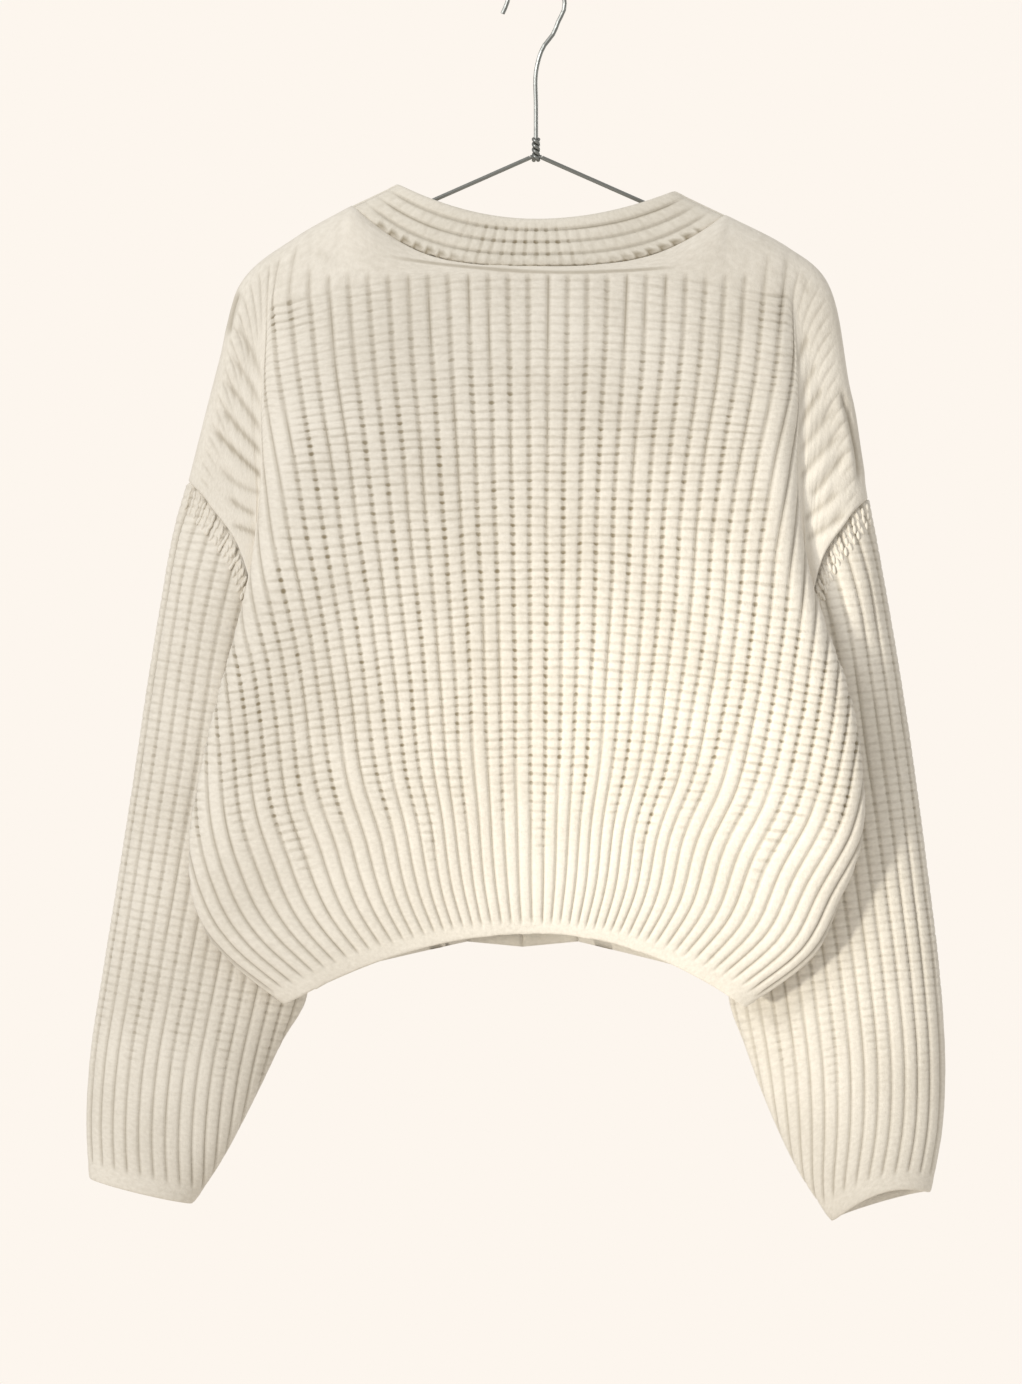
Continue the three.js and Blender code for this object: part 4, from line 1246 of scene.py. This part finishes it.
class CARDIGAN_OT_hanger(bpy.types.Operator):
    """Finish the wire hanger"""
    bl_idname = "cardigan.hanger"
    bl_label = "Wire Hanger"

    def execute(self, context):
        material = steel_material()
        for name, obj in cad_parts.items():
            if name.startswith("hanger"):
                obj.data.materials.clear()
                obj.data.materials.append(material)
        neck = add_object("hanger_neck", bpy.data.meshes.new("hanger_neck"))
        apply_nodes(neck, twist_tree(), {
            "Wire Radius": WIRE_RADIUS * MM, "Winding Radius": WINDING * WIRE_RADIUS * MM,
            "Height": (NECK_TOP - NECK_FOOT) * MM, "Turns": NECK_TURNS, "Material": material,
            "Left Lead": Vector((-LEAD_END, 0, LEAD_RISE)) * MM,
            "Right Lead": Vector((LEAD_END, 0, LEAD_RISE)) * MM})
        for vertex in neck.data.vertices:
            vertex.co.z += (NECK_FOOT - HOOK_TO_NECK) * MM
        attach(neck, BODY)
        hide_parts("hanger_twist")
        return {"FINISHED"}


STITCH_RADIUS = 1.45       # of a picked-up stitch, in millimetres
STITCH_HALF = 3.6          # half of its length
STITCH_LIFT = 2.2          # how far its middle lies above the middle of the sleeve's wall
STITCH_GAP = 5.8           # from one stitch of a seam to the next
STITCH_ROWS = (3.0, 8.5, 14.0)    # how far below the armhole's edge each row of stitches lies
STITCH_TURNS = ((0.17, 0.44), (0.57, 0.8))    # where they run, on the back and on the front


class CARDIGAN_OT_stitches(bpy.types.Operator):
    """Lay the picked-up stitches where the sleeves join"""
    bl_idname = "cardigan.stitches"
    bl_label = "Armhole Stitches"

    def execute(self, context):
        tree = stitch_tree()
        for name, side in SIDES.items():
            spots, along = [], []
            for first, last in STITCH_TURNS:
                for row, depth in enumerate(STITCH_ROWS):
                    found = self.row_of_stitches(side, first, last, depth, 0.5 * (row % 2))
                    spots.append(found[0])
                    along.append(found[1])
            mesh = bpy.data.meshes.new(f"stitches_{name}")
            mesh.from_pydata((np.concatenate(spots) * MM).tolist(), [], [])
            store(mesh, "along", np.concatenate(along), "FLOAT_VECTOR")
            obj = add_object(f"stitches_{name}", mesh)
            apply_nodes(obj, tree, {"Yarn Radius": STITCH_RADIUS * MM, "Half Length": STITCH_HALF * MM,
                                    "Material": wool("rib_knit")})
            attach(obj, BODY)
        return {"FINISHED"}

    def row_of_stitches(self, side, first, last, depth, shift):
        """Places on the sleeve's outside and the direction of each stitch, which slants a little."""
        turns = np.linspace(first, last, 200)
        cloth = sleeve_points(side, turns, np.linspace(0, 0.3, 121))
        run = np.linalg.norm(np.diff(cloth, axis=1), axis=-1).cumsum(axis=1)
        at = np.array([np.searchsorted(line, depth) + 1 for line in run])
        pick = np.arange(len(turns))
        spots = cloth[pick, at]
        down = unit(cloth[pick, at + 3] - spots)
        across = unit(np.gradient(spots, axis=0))
        outward = unit(np.cross(down, across)) * side["sign"]
        length = np.concatenate([[0], np.linalg.norm(np.diff(spots, axis=0), axis=-1).cumsum()])
        chosen = np.arange(STITCH_GAP * (0.5 + shift), length[-1], STITCH_GAP)
        near = np.array([np.abs(length - value).argmin() for value in chosen])
        slant = 0.25 * np.sin(2.3 * np.arange(len(near)) + depth)[:, None]
        return (spots + STITCH_LIFT * outward)[near], unit(down[near] + slant * across[near])


# ---- Stage ----
CAMERA_DISTANCE = 3.5     # from the camera to the middle of the garment, in metres
VIEW_HEIGHT = 1.038       # what the camera takes in at the garment, in metres
VIEW_CENTRE = (-0.01875, 0, -0.53675)
FLOOR_HEIGHT = -1.6       # in the frame, so below the hook
FLOOR_RADIUS = 2.4


def aimed_light(name, kind, place_at, aim, power, colour, **settings):
    light = bpy.data.lights.new(name, kind)
    light.energy = power
    light.color = colour
    for key, value in settings.items():
        setattr(light, key, value)
    lamp = add_object(name, light)
    lamp.location = place_at
    lamp.rotation_euler = (Vector(aim) - Vector(place_at)).to_track_quat("-Z", "Y").to_euler()


class CARDIGAN_OT_stage(bpy.types.Operator):
    """Set up the floor, the light and the camera"""
    bl_idname = "cardigan.stage"
    bl_label = "Stage"

    def execute(self, context):
        scene = context.scene
        scene.view_settings.view_transform = "Standard"
        world = bpy.data.worlds.new("pale room")
        scene.world = world
        world.use_nodes = True
        tree = world.node_tree
        tree.nodes.clear()
        wall = add_node(tree, "ShaderNodeBackground", (*srgb("#FDF6EE"), 1), 1.0)
        room = add_node(tree, "ShaderNodeBackground", (*srgb("#FBF8F3"), 1), 0.66)
        seen = add_node(tree, "ShaderNodeLightPath").outputs["Is Camera Ray"]
        world_light = add_node(tree, "ShaderNodeMixShader", seen, room, wall)
        add_node(tree, "ShaderNodeOutputWorld", world_light)
        work = bmesh.new()
        bmesh.ops.create_circle(work, cap_ends=True, segments=64, radius=FLOOR_RADIUS)
        mesh = bpy.data.meshes.new("floor")
        work.to_mesh(mesh)
        work.free()
        floor = add_object("floor", mesh)
        floor.location = (0, 0, FLOOR_HEIGHT)
        material = bpy.data.materials.new("matt painted floor")
        material.use_nodes = True
        paint = material.node_tree.nodes["Principled BSDF"]
        paint.inputs["Base Color"].default_value = (*srgb("#EFE9E0"), 1)
        paint.inputs["Roughness"].default_value = 0.9
        mesh.materials.append(material)
        # A soft key from the upper left, a warm pool on the lower right and a bounce from behind.
        aimed_light("key", "AREA", (-1.9, -2.4, 0.8), VIEW_CENTRE, 41, (1, 0.995, 0.985),
                    shape="DISK", size=1.0)
        aimed_light("warm pool", "SPOT", (-1.9, -2.3, -0.9), (0.31, 0, -0.58), 300, (1, 0.96, 0.86),
                    spot_size=math.radians(13), spot_blend=1, shadow_soft_size=0.15)
        aimed_light("bounce", "AREA", (1.2, 2.6, 0.4), VIEW_CENTRE, 22, (1, 0.98, 0.95),
                    shape="DISK", size=1.6)
        camera = bpy.data.cameras.new("camera")
        camera.lens = camera.sensor_width / 2 / (VIEW_HEIGHT / 2 / CAMERA_DISTANCE)
        camera.clip_end = 50
        view = add_object("camera", camera)
        view.location = Vector(VIEW_CENTRE) - Vector((0, CAMERA_DISTANCE, 0))
        view.rotation_euler = (math.pi / 2, 0, 0)
        scene.camera = view
        return {"FINISHED"}


class CARDIGAN_PT_panel(bpy.types.Panel):
    """Sizes, colours and pieces of the cardigan"""
    bl_idname = "CARDIGAN_PT_panel"
    bl_label = "Rib Knit Cardigan"
    bl_space_type = "VIEW_3D"
    bl_region_type = "UI"
    bl_category = "Cardigan"

    def draw(self, context):
        for group in (context.scene.cardigan_knit, context.scene.cardigan_colours):
            for name in group.__annotations__:
                self.layout.prop(group, name)
        for operator in OPERATORS:
            self.layout.operator(operator.bl_idname)


OPERATORS = (
    CARDIGAN_OT_stage, CARDIGAN_OT_hanger, CARDIGAN_OT_neckband, CARDIGAN_OT_back,
    CARDIGAN_OT_bands, CARDIGAN_OT_fronts, CARDIGAN_OT_sleeves, CARDIGAN_OT_stitches,
)
CLASSES = (CardiganKnit, CardiganColours, *OPERATORS, CARDIGAN_PT_panel)


def register():
    for cls in CLASSES:
        bpy.utils.register_class(cls)
    bpy.types.Scene.cardigan_knit = PointerProperty(type=CardiganKnit)
    bpy.types.Scene.cardigan_colours = PointerProperty(type=CardiganColours)


def unregister():
    del bpy.types.Scene.cardigan_colours
    del bpy.types.Scene.cardigan_knit
    for cls in reversed(CLASSES):
        bpy.utils.unregister_class(cls)


def main():
    register()
    for operator in OPERATORS:
        group, name = operator.bl_idname.split(".")
        getattr(getattr(bpy.ops, group), name)()


if __name__ == "__main__":
    main()
